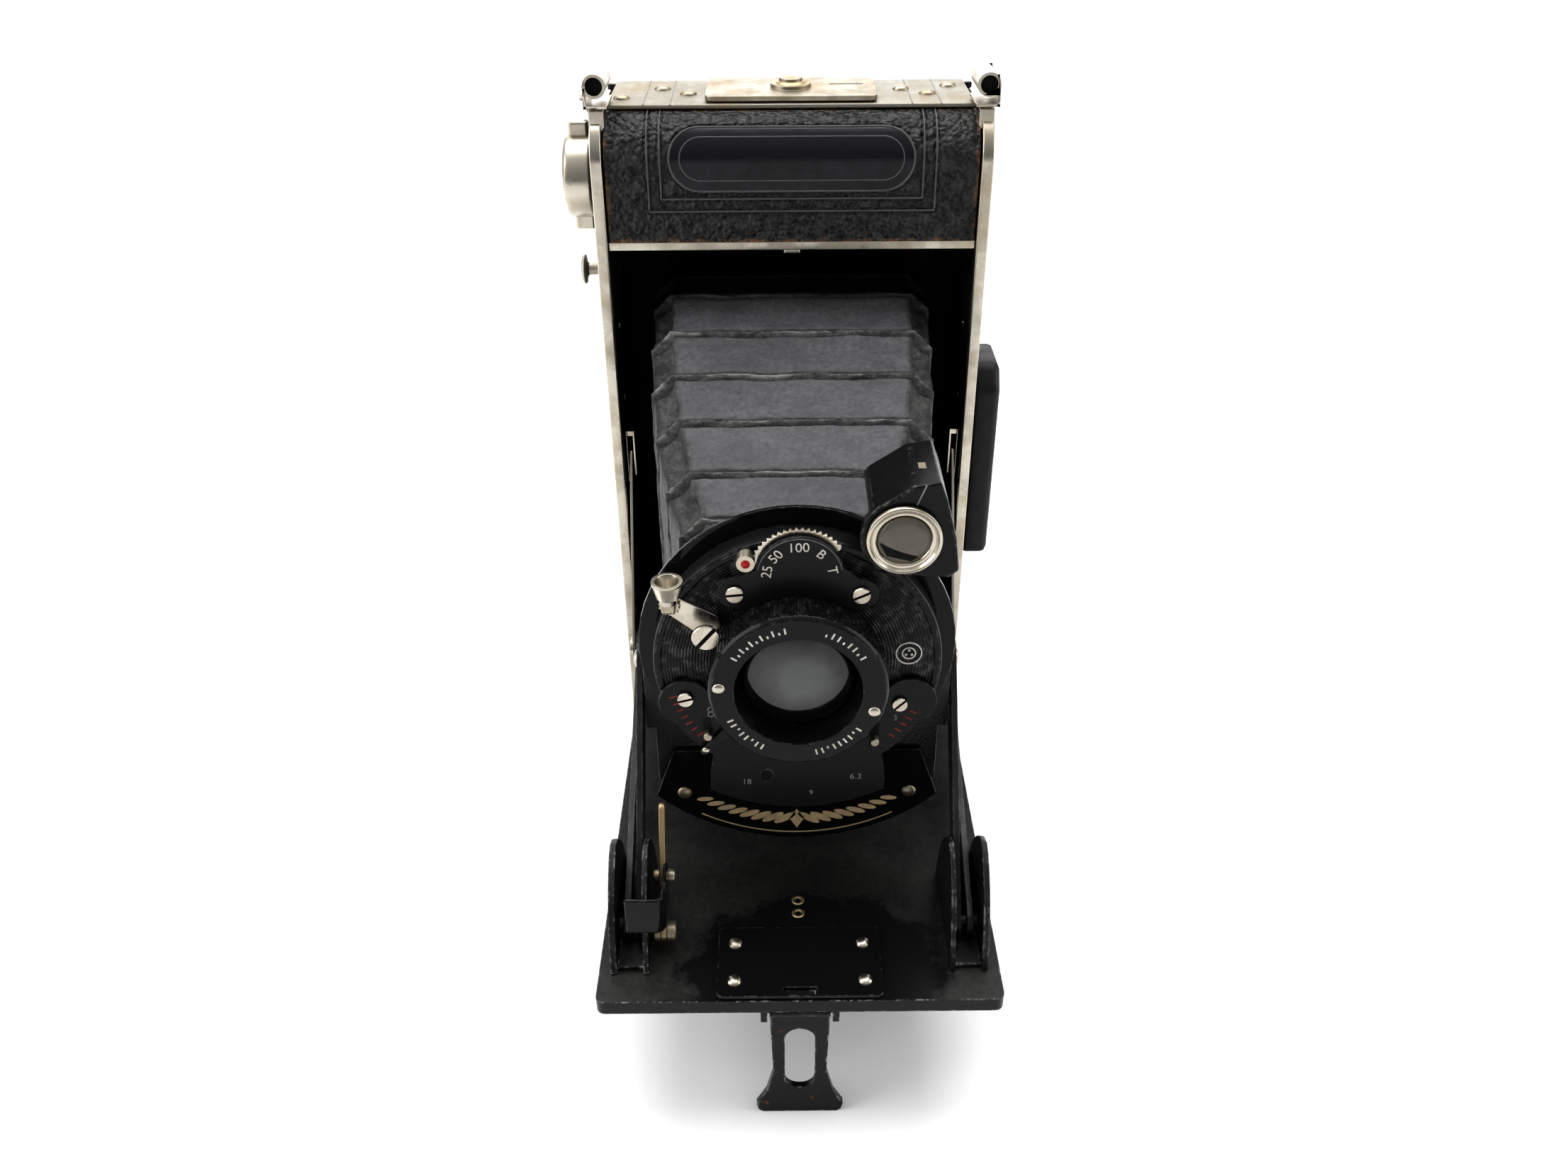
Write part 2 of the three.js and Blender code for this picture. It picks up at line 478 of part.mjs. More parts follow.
// ---------- finder ----------
const FINDER = { frontY: -92.4, backY: -76, ringX: 17.7, ringZ: 112.7 };
const finderOutline = shapeOf([[27.4, 106.2], [26.6, 112.5], [24.7, 119.7], [23.4, 123.2], [18.9, 122.4],
  [12.6, 118.2], ...arcPoints(FINDER.ringX, FINDER.ringZ, 7.4, 150, 262, 8), [25.6, 104.8]]);
add('finder_body', cut(
  plateY(finderOutline, FINDER.frontY, FINDER.backY),
  rodY(SHUTTER.frontY - GAP, -60, 0, AXIS_Z, 33.4, 56),
), 'crinkle');
const finderRod = (depth, radius, back = FINDER.frontY - GAP) =>
  rodY(FINDER.frontY - depth, back, FINDER.ringX, FINDER.ringZ, radius, 36);
add('finder_ring', cut(finderRod(1.3, 6.5), finderRod(2.3, 4.9, FINDER.frontY + 1)), 'nickel');
add('finder_lens', finderRod(0.9, 4.6), 'glass');

export default camera;
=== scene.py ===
import math

import bmesh
import bpy
from mathutils import Matrix, Vector, noise


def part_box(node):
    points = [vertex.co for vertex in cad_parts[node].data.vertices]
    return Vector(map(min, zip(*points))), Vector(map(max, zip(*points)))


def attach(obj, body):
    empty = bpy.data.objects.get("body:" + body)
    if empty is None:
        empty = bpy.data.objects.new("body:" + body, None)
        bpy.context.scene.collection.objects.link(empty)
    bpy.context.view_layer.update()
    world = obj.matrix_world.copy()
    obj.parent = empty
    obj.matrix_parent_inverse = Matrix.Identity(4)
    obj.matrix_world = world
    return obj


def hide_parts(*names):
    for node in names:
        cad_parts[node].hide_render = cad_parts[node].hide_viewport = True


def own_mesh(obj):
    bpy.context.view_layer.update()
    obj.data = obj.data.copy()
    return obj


# Folding roll-film camera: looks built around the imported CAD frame. Lengths below are in millimetres.
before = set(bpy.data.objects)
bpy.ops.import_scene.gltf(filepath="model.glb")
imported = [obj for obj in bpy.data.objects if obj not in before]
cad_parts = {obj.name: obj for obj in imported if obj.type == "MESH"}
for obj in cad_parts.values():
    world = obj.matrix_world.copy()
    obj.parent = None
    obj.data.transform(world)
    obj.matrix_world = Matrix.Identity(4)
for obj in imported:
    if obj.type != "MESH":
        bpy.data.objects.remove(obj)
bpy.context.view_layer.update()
MM = 0.001


# ------------ sizes taken from the frame
def node_box(name):
    low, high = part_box(name)
    return low / MM, high / MM


def centre(name):
    low, high = node_box(name)
    return (low + high) / 2


AXIS_Z = centre("shutter_case").z
CASE_LOW, CASE_HIGH = node_box("shutter_case")
CASE_FRONT = CASE_LOW.y
CASE_R = (CASE_HIGH.x - CASE_LOW.x) / 2
PLATE_FRONT = node_box("scale_plate")[0].y
SPEED_FRONT = node_box("speed_plate")[0].y
BED_TOP = node_box("bed")[1].z
BODY_TOP = node_box("left_rim")[1].z
RIM_INNER = -node_box("left_rim")[1].x
INK_DEPTH = 0.03


# ------------ materials
class Finish:
    """A node material with its shader and short calls for the nodes it needs."""

    def __init__(self, name, color, roughness, metallic=0.0, specular=0.38):
        self.mat = bpy.data.materials.new(name)
        self.mat.use_nodes = True
        self.tree = self.mat.node_tree
        self.shader = self.tree.nodes["Principled BSDF"]
        self.shader.inputs["Base Color"].default_value = (*color, 1)
        self.shader.inputs["Roughness"].default_value = roughness
        self.shader.inputs["Metallic"].default_value = metallic
        self.shader.inputs["Specular IOR Level"].default_value = specular
        self.coord = self.tree.nodes.new("ShaderNodeTexCoord").outputs["Object"]

    def node(self, kind, inputs=None, **props):
        made = self.tree.nodes.new(kind)
        for key, value in props.items():
            setattr(made, key, value)
        for key, value in (inputs or {}).items():
            if isinstance(value, bpy.types.NodeSocket):
                self.tree.links.new(value, made.inputs[key])
            else:
                made.inputs[key].default_value = value
        return made

    def link(self, output, socket):
        self.tree.links.new(output, self.shader.inputs[socket])

    def color(self, output):
        self.link(output, "Base Color")

    def rough(self, output):
        self.link(output, "Roughness")

    def stretch(self, x, y, z):
        return self.node("ShaderNodeMapping", {"Vector": self.coord, "Scale": (x, y, z)}).outputs["Vector"]

    def noise(self, scale, detail=4, rough=0.55, vector=None, distortion=0.0):
        inputs = {"Vector": vector or self.coord, "Scale": scale, "Detail": detail, "Roughness": rough,
                  "Distortion": distortion}
        return self.node("ShaderNodeTexNoise", inputs).outputs["Fac"]

    def cells(self, scale, feature="F1", vector=None, smooth=0.4):
        inputs = {"Vector": vector or self.coord, "Scale": scale}
        if feature == "SMOOTH_F1":
            inputs["Smoothness"] = smooth
        return self.node("ShaderNodeTexVoronoi", inputs, feature=feature).outputs["Distance"]

    def ramp(self, value, low, high, out_low=0.0, out_high=1.0):
        inputs = {"Value": value, "From Min": low, "From Max": high, "To Min": out_low, "To Max": out_high}
        return self.node("ShaderNodeMapRange", inputs).outputs["Result"]

    def math(self, operation, a, b):
        return self.node("ShaderNodeMath", {0: a, 1: b}, operation=operation).outputs["Value"]

    def mix(self, factor, a, b):
        made = self.node("ShaderNodeMix", data_type="RGBA")
        sockets = {0: factor, 6: a, 7: b}
        for index, value in sockets.items():
            if isinstance(value, bpy.types.NodeSocket):
                self.tree.links.new(value, made.inputs[index])
            else:
                made.inputs[index].default_value = value if index == 0 else (*value, 1)
        return made.outputs[2]

    def edges(self, radius_mm=0.35):
        """1 close to an edge, 0 elsewhere."""
        rounded = self.node("ShaderNodeBevel", {"Radius": radius_mm * MM}, samples=4).outputs["Normal"]
        flat = self.node("ShaderNodeNewGeometry").outputs["True Normal"]
        return self.ramp(self.vector("DOT_PRODUCT", rounded, flat, "Value"), 0.985, 0.9)

    def vector(self, operation, a, b=(0, 0, 0), output="Vector"):
        return self.node("ShaderNodeVectorMath", {0: a, 1: b}, operation=operation).outputs[output]

    def attribute(self, name):
        return self.node("ShaderNodeAttribute", attribute_name=name).outputs["Fac"]

    def bump(self, height, strength, distance_mm):
        inputs = {"Height": height, "Strength": strength, "Distance": distance_mm * MM}
        self.link(self.node("ShaderNodeBump", inputs).outputs["Normal"], "Normal")
        return self


def enamel(name, dust=0.5, gloss=0.18, chips=0.5, dust_color=(0.045, 0.044, 0.042), rust=0.0, wear=0.35,
           rubbed=None):
    """Black stove enamel, dulled by dust and chipped to grey metal on its edges.

    rubbed gives the middle and half axes of an oval that hands have wiped clean."""
    f = Finish(name, (0.006, 0.006, 0.007), gloss, specular=0.2)
    cloud = f.noise(45, 6, 0.6)
    if rubbed:
        cloud = f.ramp(cloud, 0.3, 0.6, 0.5, 0.68)
    specks = f.noise(900, 3, 0.7)
    dulled = f.math("MULTIPLY", f.ramp(cloud, 0.42, 0.68), f.ramp(specks, 0.25, 0.75, 0.35, 1.0))
    normal = f.node("ShaderNodeSeparateXYZ", {0: f.node("ShaderNodeTexCoord").outputs["Normal"]}).outputs["Z"]
    dulled = f.math("MULTIPLY", dulled, f.ramp(normal, 0.1, 0.8, 0.15 * dust, dust))
    if rubbed:
        (x, y), (half_x, half_y) = rubbed
        local = f.vector("ADD", f.coord, (-x * MM, -y * MM, 0))
        flat = f.node("ShaderNodeMapping", {"Vector": local, "Scale": (1 / half_x / MM, 1 / half_y / MM, 0)})
        reach = f.vector("LENGTH", flat.outputs["Vector"], output="Value")
        reach = f.math("ADD", reach, f.ramp(f.noise(160, 5, 0.7), 0.3, 0.7, -0.16, 0.16))
        dulled = f.math("MULTIPLY", dulled, f.ramp(reach, 0.9, 1.05, 0.05, 1.0))
    base = f.mix(dulled, (0.008, 0.008, 0.009), dust_color)
    if rust:
        rusty = f.math("MULTIPLY", f.ramp(f.noise(260, 5, 0.7), 0.6, 0.68), rust)
        base = f.mix(rusty, base, (0.22, 0.09, 0.035))
    worn = f.math("MULTIPLY", f.edges(wear), f.ramp(f.noise(520, 4, 0.7), 0.5, 0.6))
    worn = f.math("MULTIPLY", worn, chips)
    f.color(f.mix(worn, base, (0.3, 0.29, 0.27)))
    f.rough(f.ramp(dulled, 0.0, 1.0, gloss, 0.62))
    f.shader.inputs["Coat Weight"].default_value = 0.04
    f.shader.inputs["Coat Roughness"].default_value = 0.12
    return f.bump(f.noise(700, 5, 0.6), 0.12, 0.06).mat


def crinkle(name):
    """Black crackle paint: fine short ridges, satin, greyed on the high spots."""
    f = Finish(name, (0.014, 0.014, 0.015), 0.42)
    ridges = f.cells(1500, "SMOOTH_F1")
    cloud = f.ramp(f.noise(70, 5, 0.6), 0.4, 0.7)
    base = f.mix(f.math("MULTIPLY", cloud, 0.5), (0.01, 0.01, 0.011), (0.04, 0.04, 0.039))
    worn = f.math("MULTIPLY", f.edges(0.3), f.ramp(f.noise(500, 4, 0.7), 0.45, 0.6))
    f.color(f.mix(f.math("MULTIPLY", worn, 0.6), base, (0.26, 0.25, 0.23)))
    f.rough(f.ramp(cloud, 0, 1, 0.32, 0.6))
    return f.bump(ridges, 0.35, 0.12).mat


def nickel(name, tint=(0.47, 0.44, 0.38), rough=0.22, tarnish=0.45):
    """Warm nickel plate with brushed lines, cloudy tarnish and yellowed low spots."""
    f = Finish(name, tint, rough, 1.0)
    cloud = f.ramp(f.noise(120, 6, 0.65), 0.42, 0.7)
    stain = f.math("MULTIPLY", cloud, tarnish)
    brass_worn = f.math("MULTIPLY", f.ramp(f.noise(60, 4, 0.6), 0.5, 0.72), 0.4 * tarnish)
    base = f.mix(stain, tint, (0.24, 0.2, 0.14))
    f.color(f.mix(brass_worn, base, (0.62, 0.42, 0.2)))
    lines = f.noise(500, 3, 0.6, f.stretch(1, 0.05, 0.05))
    brushed = f.ramp(lines, 0.3, 0.7, -0.04, 0.05)
    f.rough(f.math("ADD", f.ramp(cloud, 0, 1, rough, rough + 0.22), brushed))
    return f.bump(f.noise(1200, 4, 0.7), 0.06, 0.03).mat


def leather(name, browned=True):
    """Black pebbled leather, brown where the finish has rubbed off along its borders."""
    f = Finish(name, (0.012, 0.012, 0.012), 0.42)
    swirl = f.node("ShaderNodeTexNoise", {"Vector": f.coord, "Scale": 350.0}).outputs["Color"]
    swirl = f.node("ShaderNodeVectorMath", {0: swirl, "Scale": 0.0011}, operation="SCALE").outputs["Vector"]
    warp = f.vector("ADD", f.coord, swirl)
    pebbles = f.cells(900, "SMOOTH_F1", warp, 0.25)
    creases = f.noise(420, 6, 0.65, warp, 0.6)
    height = f.math("ADD", f.ramp(pebbles, 0.05, 0.75, 1.0, 0.0), f.math("MULTIPLY", creases, 0.7))
    if browned:
        smooth = f.attribute("pressed")
        height = f.math("MULTIPLY", height, f.ramp(smooth, 0, 1, 1.0, 0.12))
        base = f.mix(f.ramp(creases, 0.42, 0.62, 0, 0.6), (0.004, 0.004, 0.004), (0.06, 0.06, 0.058))
        rim = f.math("MULTIPLY", f.attribute("border"), f.ramp(f.noise(380, 5, 0.7), 0.42, 0.62))
        f.color(f.mix(rim, base, (0.20, 0.105, 0.05)))
        f.rough(f.ramp(smooth, 0, 1, 0.4, 0.22))
    else:
        worn = f.ramp(height, 0.7, 1.5, 0, 0.5)
        f.color(f.mix(worn, (0.006, 0.006, 0.006), (0.035, 0.034, 0.033)))
        f.rough(f.ramp(creases, 0.3, 0.7, 0.34, 0.5))
    return f.bump(height, 1.0, 0.42).mat


def bellows_leather():
    """Thin grained leather, greyed by dust, rubbed pale and frayed along each fold with a painted highlight
    on its ridge; painted shade in the creases beside the folds and on the side panels, and a painted shadow
    over the rear pleat.
    """
    f = Finish("bellows_leather", (0.06, 0.062, 0.066), 0.6)
    grain = f.noise(1000, 5, 0.75)
    cloud = f.ramp(f.noise(70, 6, 0.7), 0.35, 0.7)
    panel = f.attribute("panel")
    fold = f.attribute("fold")
    crease_shade = f.attribute("crease_shade")
    shade = f.attribute("shade")
    base = f.mix(cloud, (0.075, 0.076, 0.08), (0.14, 0.142, 0.145))
    base = f.mix(f.ramp(grain, 0.35, 0.65, 0.7, 0.0), base, (0.045, 0.045, 0.048))
    rough_strip = f.mix(f.ramp(f.noise(420, 5, 0.8), 0.42, 0.62), (0.02, 0.02, 0.02), (0.09, 0.09, 0.085))
    base = f.mix(f.ramp(panel, 0, 0.8, 0.85, 0), base, rough_strip)
    # painted shade: near-black lines down the creases beside each fold
    base = f.mix(crease_shade, base, (0.006, 0.006, 0.006))
    # pale along each fold ridge: rubbed leather, plus a painted highlight on the ridge
    rubbed = f.math("MULTIPLY", fold, f.ramp(f.noise(260, 5, 0.75, f.stretch(0.3, 1, 1)), 0.46, 0.58))
    base = f.mix(f.math("MULTIPLY", rubbed, 0.7), base, (0.3, 0.3, 0.28))
    # painted shadow over the rear pleat and painted shade on the side panels, mixed towards black
    f.color(f.mix(shade, base, (0.004, 0.004, 0.005)))
    f.rough(f.ramp(cloud, 0, 1, 0.45, 0.62))
    wrinkle = f.noise(300, 6, 0.75, f.stretch(0.6, 1.5, 1.5), 0.5)
    height = f.math("ADD", f.math("MULTIPLY", grain, 0.6), f.math("MULTIPLY", wrinkle, 0.9))
    return f.bump(height, 0.8, 0.45).mat


def plain(name, color, rough, metallic=0.0, noise_scale=400, bump=0.1):
    """A simple finish with slight tone and roughness variation."""
    f = Finish(name, color, rough, metallic)
    cloud = f.ramp(f.noise(noise_scale, 4, 0.6), 0.35, 0.7)
    f.color(f.mix(cloud, color, tuple(c * 0.7 for c in color)))
    f.rough(f.ramp(cloud, 0, 1, rough, min(1, rough + 0.15)))
    return f.bump(f.noise(noise_scale * 2, 3, 0.6), bump, 0.05).mat


def glass(name, color=(1, 1, 1), rough=0.02):
    """Clear or tinted glass, faintly smeared."""
    f = Finish(name, color, rough)
    f.shader.inputs["Transmission Weight"].default_value = 1.0
    f.shader.inputs["IOR"].default_value = 1.5
    f.rough(f.ramp(f.noise(90, 5, 0.6), 0.4, 0.8, rough, rough + 0.08))
    return f.mat


def dark_lens_with_painted_reflection():
    """Dark polished lens, opaque: a painted soft grey reflection in the middle, black towards its rim."""
    f = Finish("front_lens_glass", (0.02, 0.021, 0.024), 0.04, specular=0.6)
    flat = f.vector("ADD", f.coord, (0, 0, -AXIS_Z * MM - 0.001))
    radius = f.vector("LENGTH", f.vector("MULTIPLY", flat, (1, 0, 1.15)), output="Value")
    radius = f.math("ADD", radius, f.ramp(f.noise(160, 3), 0.3, 0.7, -0.0012, 0.0012))
    # painted reflection: lighter grey towards the middle of the lens
    painted_reflection = f.ramp(radius, 0.0035, 0.0088, 1, 0)
    f.color(f.mix(painted_reflection, (0.006, 0.006, 0.007), (0.085, 0.088, 0.088)))
    f.rough(f.ramp(f.noise(300, 4), 0.4, 0.7, 0.03, 0.1))
    return f.mat


M = {
    "bed": enamel("bed_enamel", dust=0.95, gloss=0.2, chips=1.0, dust_color=(0.042, 0.042, 0.038), wear=0.5,
                  rubbed=((3.0, -114.0), (25.0, 19.0))),
    "gloss": enamel("gloss_enamel", dust=0.0, gloss=0.08, chips=0.4),
    "finder": enamel("finder_enamel", dust=0.12, gloss=0.2, chips=0.6, wear=0.6),
    "plate": enamel("plate_enamel", dust=0.8, gloss=0.35, chips=0.35, dust_color=(0.022, 0.022, 0.024)),
    "case": enamel("case_enamel", dust=0.3, gloss=0.28, chips=0.5, dust_color=(0.03, 0.03, 0.03)),
    "leg": enamel("leg_enamel", dust=0.3, gloss=0.25, chips=1.0, rust=0.6, wear=0.6),
    "bracket": enamel("bracket_enamel", dust=0.9, gloss=0.35, chips=1.0, dust_color=(0.05, 0.05, 0.047),
                      wear=0.6),
    "crinkle": crinkle("crinkle_paint"),
    "nickel": nickel("nickel_plate"),
    "nickel_dull": nickel("dull_nickel", (0.36, 0.33, 0.265), 0.34, 0.8),
    "nickel_top": nickel("brushed_nickel", (0.29, 0.275, 0.235), 0.42, 0.4),
    "nickel_soft": nickel("soft_nickel", (0.5, 0.46, 0.4), 0.5, 0.5),
    "brass": nickel("worn_brass", (0.42, 0.34, 0.2), 0.32, 0.8),
    "leather": leather("body_leather"),
    "leather_plain": leather("body_leather_plain", browned=False),
    "handle": plain("handle_leather", (0.009, 0.009, 0.01), 0.4, noise_scale=260, bump=0.25),
    "bellows": bellows_leather(),
    "glass": glass("lens_glass"),
    "front_lens": dark_lens_with_painted_reflection(),
    "finder_glass": glass("finder_glass", (0.9, 0.88, 0.84), 0.05),
    # real matt black parts, and also the flat pieces of painted shade in slots, holes, lug bores and the
    # finder
    "matt_black_and_painted_shade": plain("matt_black", (0.004, 0.004, 0.004), 0.8),
    "ink": plain("engraving_white", (0.6, 0.58, 0.52), 0.55),
    "ink_grey": plain("engraving_grey", (0.22, 0.22, 0.21), 0.6),
    "ink_red": plain("engraving_red", (0.22, 0.02, 0.015), 0.5),
    "gold": plain("gold_line", (0.6, 0.47, 0.29), 0.5, 0.1),
    # painted highlight: a lighter glossy colour for the pressed lines
    "leather_line_highlight": plain("pressed_line_painted_highlight", (0.085, 0.086, 0.088), 0.3, noise_scale=300, bump=0.2),
    "leather_smooth": plain("pressed_leather", (0.010, 0.010, 0.013), 0.16, noise_scale=260, bump=0.3),
    # painted image of the view, in the finder's opaque glass
    "painted_finder_view": plain("painted_finder_view", (0.14, 0.125, 0.105), 0.12, noise_scale=120, bump=0.02),
    "red": plain("red_enamel", (0.33, 0.012, 0.008), 0.3),
    "red_glass": glass("red_window_glass", (0.5, 0.01, 0.01)),
    "wood": plain("spool_black", (0.02, 0.018, 0.016), 0.5),
}

LOOK_OF = {
    "bed": "bed",
    "gloss": "catch_plate name_plate shutter_plate",
    "bracket": "left_bed_bracket right_bed_bracket",
    "finder": "finder_body",
    "plate": "aperture_ring scale_plate speed_plate",
    "finder_glass": "finder_lens",
    "leg": "table_leg",
    "matt_black_and_painted_shade": "film_gate pressure_plate rear_lens_cell shutter_blade",
    "crinkle": "lens_standard left_standard_arm right_standard_arm left_strut right_strut",
    "leather_plain": "bottom_chamber_cover left_side_wall right_side_wall back_door "
                     "top_chamber_cover",
    "handle": "carrying_handle",
    "wood": "take_up_spool supply_spool",
    "nickel_top": "top_plate",
    "nickel_dull": "base_plate back_latch",
    "glass": "rear_lens front_lens",
    "red_glass": "red_window",
    "brass": "pressure_spring",
    "nickel": "upper_roller lower_roller",
}
CAD_LOOK = {node: look for look, nodes in LOOK_OF.items() for node in nodes.split()}
SMALL_EDGE = 0.12
WIDE_EDGE = {"bed": 0.5, "carrying_handle": 1.6, "finder_body": 0.9, "left_rim": 0.35, "right_rim": 0.35,
             "winding_key": 0.5, "table_leg": 0.25, "back_door": 0.6, "top_plate": 0.3, "back_latch": 0.3,
             "left_bed_bracket": 0.3, "right_bed_bracket": 0.3, "left_strut": 0.25, "right_strut": 0.25}


def soften(obj, width, angle=32):
    """Rounds an object's sharp edges with modifiers and smooths its curved faces."""
    for polygon in obj.data.polygons:
        polygon.use_smooth = True
    weld = obj.modifiers.new("weld", "WELD")
    weld.merge_threshold = 0.001 * MM
    flats = obj.modifiers.new("flats", "DECIMATE")
    flats.decimate_type = "DISSOLVE"
    flats.angle_limit = math.radians(0.6)
    bevel = obj.modifiers.new("bevel", "BEVEL")
    bevel.width = width * MM
    bevel.segments = 2
    bevel.limit_method = "ANGLE"
    bevel.angle_limit = math.radians(angle)
    bevel.use_clamp_overlap = True
    normals = obj.modifiers.new("normals", "WEIGHTED_NORMAL")
    normals.weight = 80


for node_name, node_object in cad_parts.items():
    node_object.data.materials.clear()
    node_object.data.materials.append(M[CAD_LOOK.get(node_name, "nickel")])
    soften(node_object, WIDE_EDGE.get(node_name, SMALL_EDGE))


# ------------ mesh helpers
def add_object(name, data):
    obj = bpy.data.objects.new(name, data)
    bpy.context.scene.collection.objects.link(obj)
    return obj


def to_object(bm, name, material, smooth=True):
    """Makes an object in metres from a bmesh in millimetres."""
    bmesh.ops.scale(bm, vec=(MM, MM, MM), verts=bm.verts)
    mesh = bpy.data.meshes.new(name)
    bm.to_mesh(mesh)
    bm.free()
    mesh.materials.append(material)
    if smooth:
        for polygon in mesh.polygons:
            polygon.use_smooth = True
    return add_object(name, mesh)


def finish_piece(bm, name, look, body, edge=0.0, smooth=True, replaced=()):
    """Turns a bmesh in millimetres into a piece that rides on a CAD body."""
    bmesh.ops.recalc_face_normals(bm, faces=bm.faces)
    obj = to_object(bm, name, M[look], smooth)
    if edge:
        soften(obj, edge)
    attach(obj, body)
    if replaced:
        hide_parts(*replaced)
    return obj


def above(base, *points):
    """Outline points whose second value counts from a base height."""
    return [(a, base + b) for a, b in points]


def add_lathe(bm, profile, at, direction="Y", steps=64, ripple=None):
    """Turns a closed (radius, height) outline round an axis through a point; height runs along the axis."""
    turn = {"X": Matrix.Rotation(math.pi / 2, 4, "Y"), "Y": Matrix.Rotation(-math.pi / 2, 4, "X"),
            "Z": Matrix.Identity(4)}[direction]
    place = Matrix.Translation(Vector(at)) @ turn
    rings = []
    for i in range(steps):
        angle = 2 * math.pi * i / steps
        ring = []
        for j, (radius, height) in enumerate(profile):
            r = radius + (ripple(i, j) if ripple else 0)
            ring.append(bm.verts.new(place @ Vector((r * math.cos(angle), r * math.sin(angle), height))))
        rings.append(ring)
    count = len(profile)
    for i in range(steps):
        a, b = rings[i], rings[(i + 1) % steps]
        for j in range(count):
            k = (j + 1) % count
            if profile[j][0] < 1e-6 and profile[k][0] < 1e-6:
                continue
            bm.faces.new((a[j], b[j], b[k], a[k]))
    bmesh.ops.remove_doubles(bm, verts=bm.verts, dist=1e-5)
    return bm


def lathe(profile, at, direction="Y", steps=64, ripple=None):
    return add_lathe(bmesh.new(), profile, at, direction, steps, ripple)


def add_plate(bm, outline, low, high, plane="XZ"):
    """Extrudes a closed outline: XZ outlines along Y, YZ along X, XY along Z."""
    spot = {"XZ": lambda a, b, h: (a, h, b), "YZ": lambda a, b, h: (h, a, b),
            "XY": lambda a, b, h: (a, b, h)}[plane]
    bottom = [bm.verts.new(spot(a, b, low)) for a, b in outline]
    top = [bm.verts.new(spot(a, b, high)) for a, b in outline]
    bm.faces.new(bottom)
    bm.faces.new(reversed(top))
    for i in range(len(outline)):
        j = (i + 1) % len(outline)
        bm.faces.new((bottom[i], top[i], top[j], bottom[j]))
    return bm


def add_block(bm, x0, x1, y0, y1, z0, z1):
    return add_plate(bm, [(x0, y0), (x1, y0), (x1, y1), (x0, y1)], z0, z1, "XY")


def arc(cx, cy, radius, start, end, steps=12):
    angles = [math.radians(start + (end - start) * i / steps) for i in range(steps + 1)]
    return [(cx + radius * math.cos(a), cy + radius * math.sin(a)) for a in angles]


def bar_outline(start, end, start_radius, end_radius, start_steps, end_steps):
    """A flat bar with a round at each end."""
    heading = math.degrees(math.atan2(end.y - start.y, end.x - start.x))
    return (arc(start.x, start.y, start_radius, heading + 90, heading + 270, start_steps)
            + arc(end.x, end.y, end_radius, heading - 90, heading + 90, end_steps))


def dome(radius, height, steps=5):
    """Profile of a rivet head on its seat, from the axis out and back."""
    angles = [math.pi / 2 * i / steps for i in range(steps + 1)]
    curve = [(radius * math.cos(a), height * math.sin(a)) for a in angles]
    return [(0, -0.15), (radius, -0.15)] + curve[:-1] + [(0, height)]


def rivets(name, spots, radius, height, direction, sign, body, look="nickel"):
    """Domed rivet heads; sign says which way along the axis they stand."""
    bm = bmesh.new()
    profile = [(r, sign * h) for r, h in dome(radius, height)]
    for spot in spots:
        add_lathe(bm, profile, spot, direction, 20)
    return finish_piece(bm, name, look, body)


def screw(name, x, z, front, radius, angle, body="standard", look="nickel"):
    """Cheese-head screw facing -Y with a cut slot, its seat at front."""
    half, depth, height = radius * 0.15, 0.5, 0.75
    floor = front - height + depth
    bm = bmesh.new()
    cut = math.asin(half / (radius * 0.97))
    turn = math.radians(angle)
    steps = 16

    def point(r_angle, r, y):
        a = r_angle + turn
        return bm.verts.new((x + r * math.cos(a), y, z + r * math.sin(a)))

    for flip in (0, math.pi):
        angles = [flip + cut + (math.pi - 2 * cut) * i / steps for i in range(steps + 1)]
        rims = [[point(a, radius, front), point(a, radius, front - height * 0.75),
                 point(a, radius * 0.93, front - height)] for a in angles]
        inner = []
        ca, sa = math.cos(flip + turn), math.sin(flip + turn)
        for a in angles:
            reach = radius * 0.93 * math.cos(a - flip)
            wx, wz = reach * ca - half * sa, reach * sa + half * ca
            inner.append([bm.verts.new((x + wx, y, z + wz)) for y in (front - height, floor, front)])
        for i in range(steps):
            for j in range(2):
                bm.faces.new((rims[i][j], rims[i + 1][j], rims[i + 1][j + 1], rims[i][j + 1]))
                bm.faces.new((inner[i][j], inner[i + 1][j], inner[i + 1][j + 1], inner[i][j + 1]))
            bm.faces.new((rims[i][2], rims[i + 1][2], inner[i + 1][0], inner[i][0]))
            bm.faces.new((rims[i][0], rims[i + 1][0], inner[i + 1][2], inner[i][2]))
        for end in (0, steps):
            bm.faces.new((*rims[end], *inner[end]))
    # painted shade: the slot's floor is a matt black disc
    disc = [(0, front), (radius * 0.9, front), (radius * 0.9, floor), (0, floor)]
    slot_floor = lathe(disc, (x, 0, z), "Y", 24)
    finish_piece(slot_floor, name + "_painted_slot_shade", "matt_black_and_painted_shade", body, smooth=False)
    return finish_piece(bm, name, look, body, smooth=False)


def label(name, text, x, z, front, size, angle=0, look="ink", body="standard"):
    """Plain numbers and signs lying on a surface that faces -Y."""
    curve = bpy.data.curves.new(name, "FONT")
    curve.body = text
    curve.size = size * MM
    curve.align_x = "CENTER"
    curve.align_y = "CENTER"
    curve.extrude = INK_DEPTH * MM
    obj = add_object(name, curve)
    turn = Matrix.Rotation(math.radians(-angle), 4, "Y") @ Matrix.Rotation(math.pi / 2, 4, "X")
    obj.matrix_world = Matrix.Translation(Vector((x, front - INK_DEPTH, z)) * MM) @ turn
    curve.materials.append(M[look])
    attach(obj, body)
    return obj


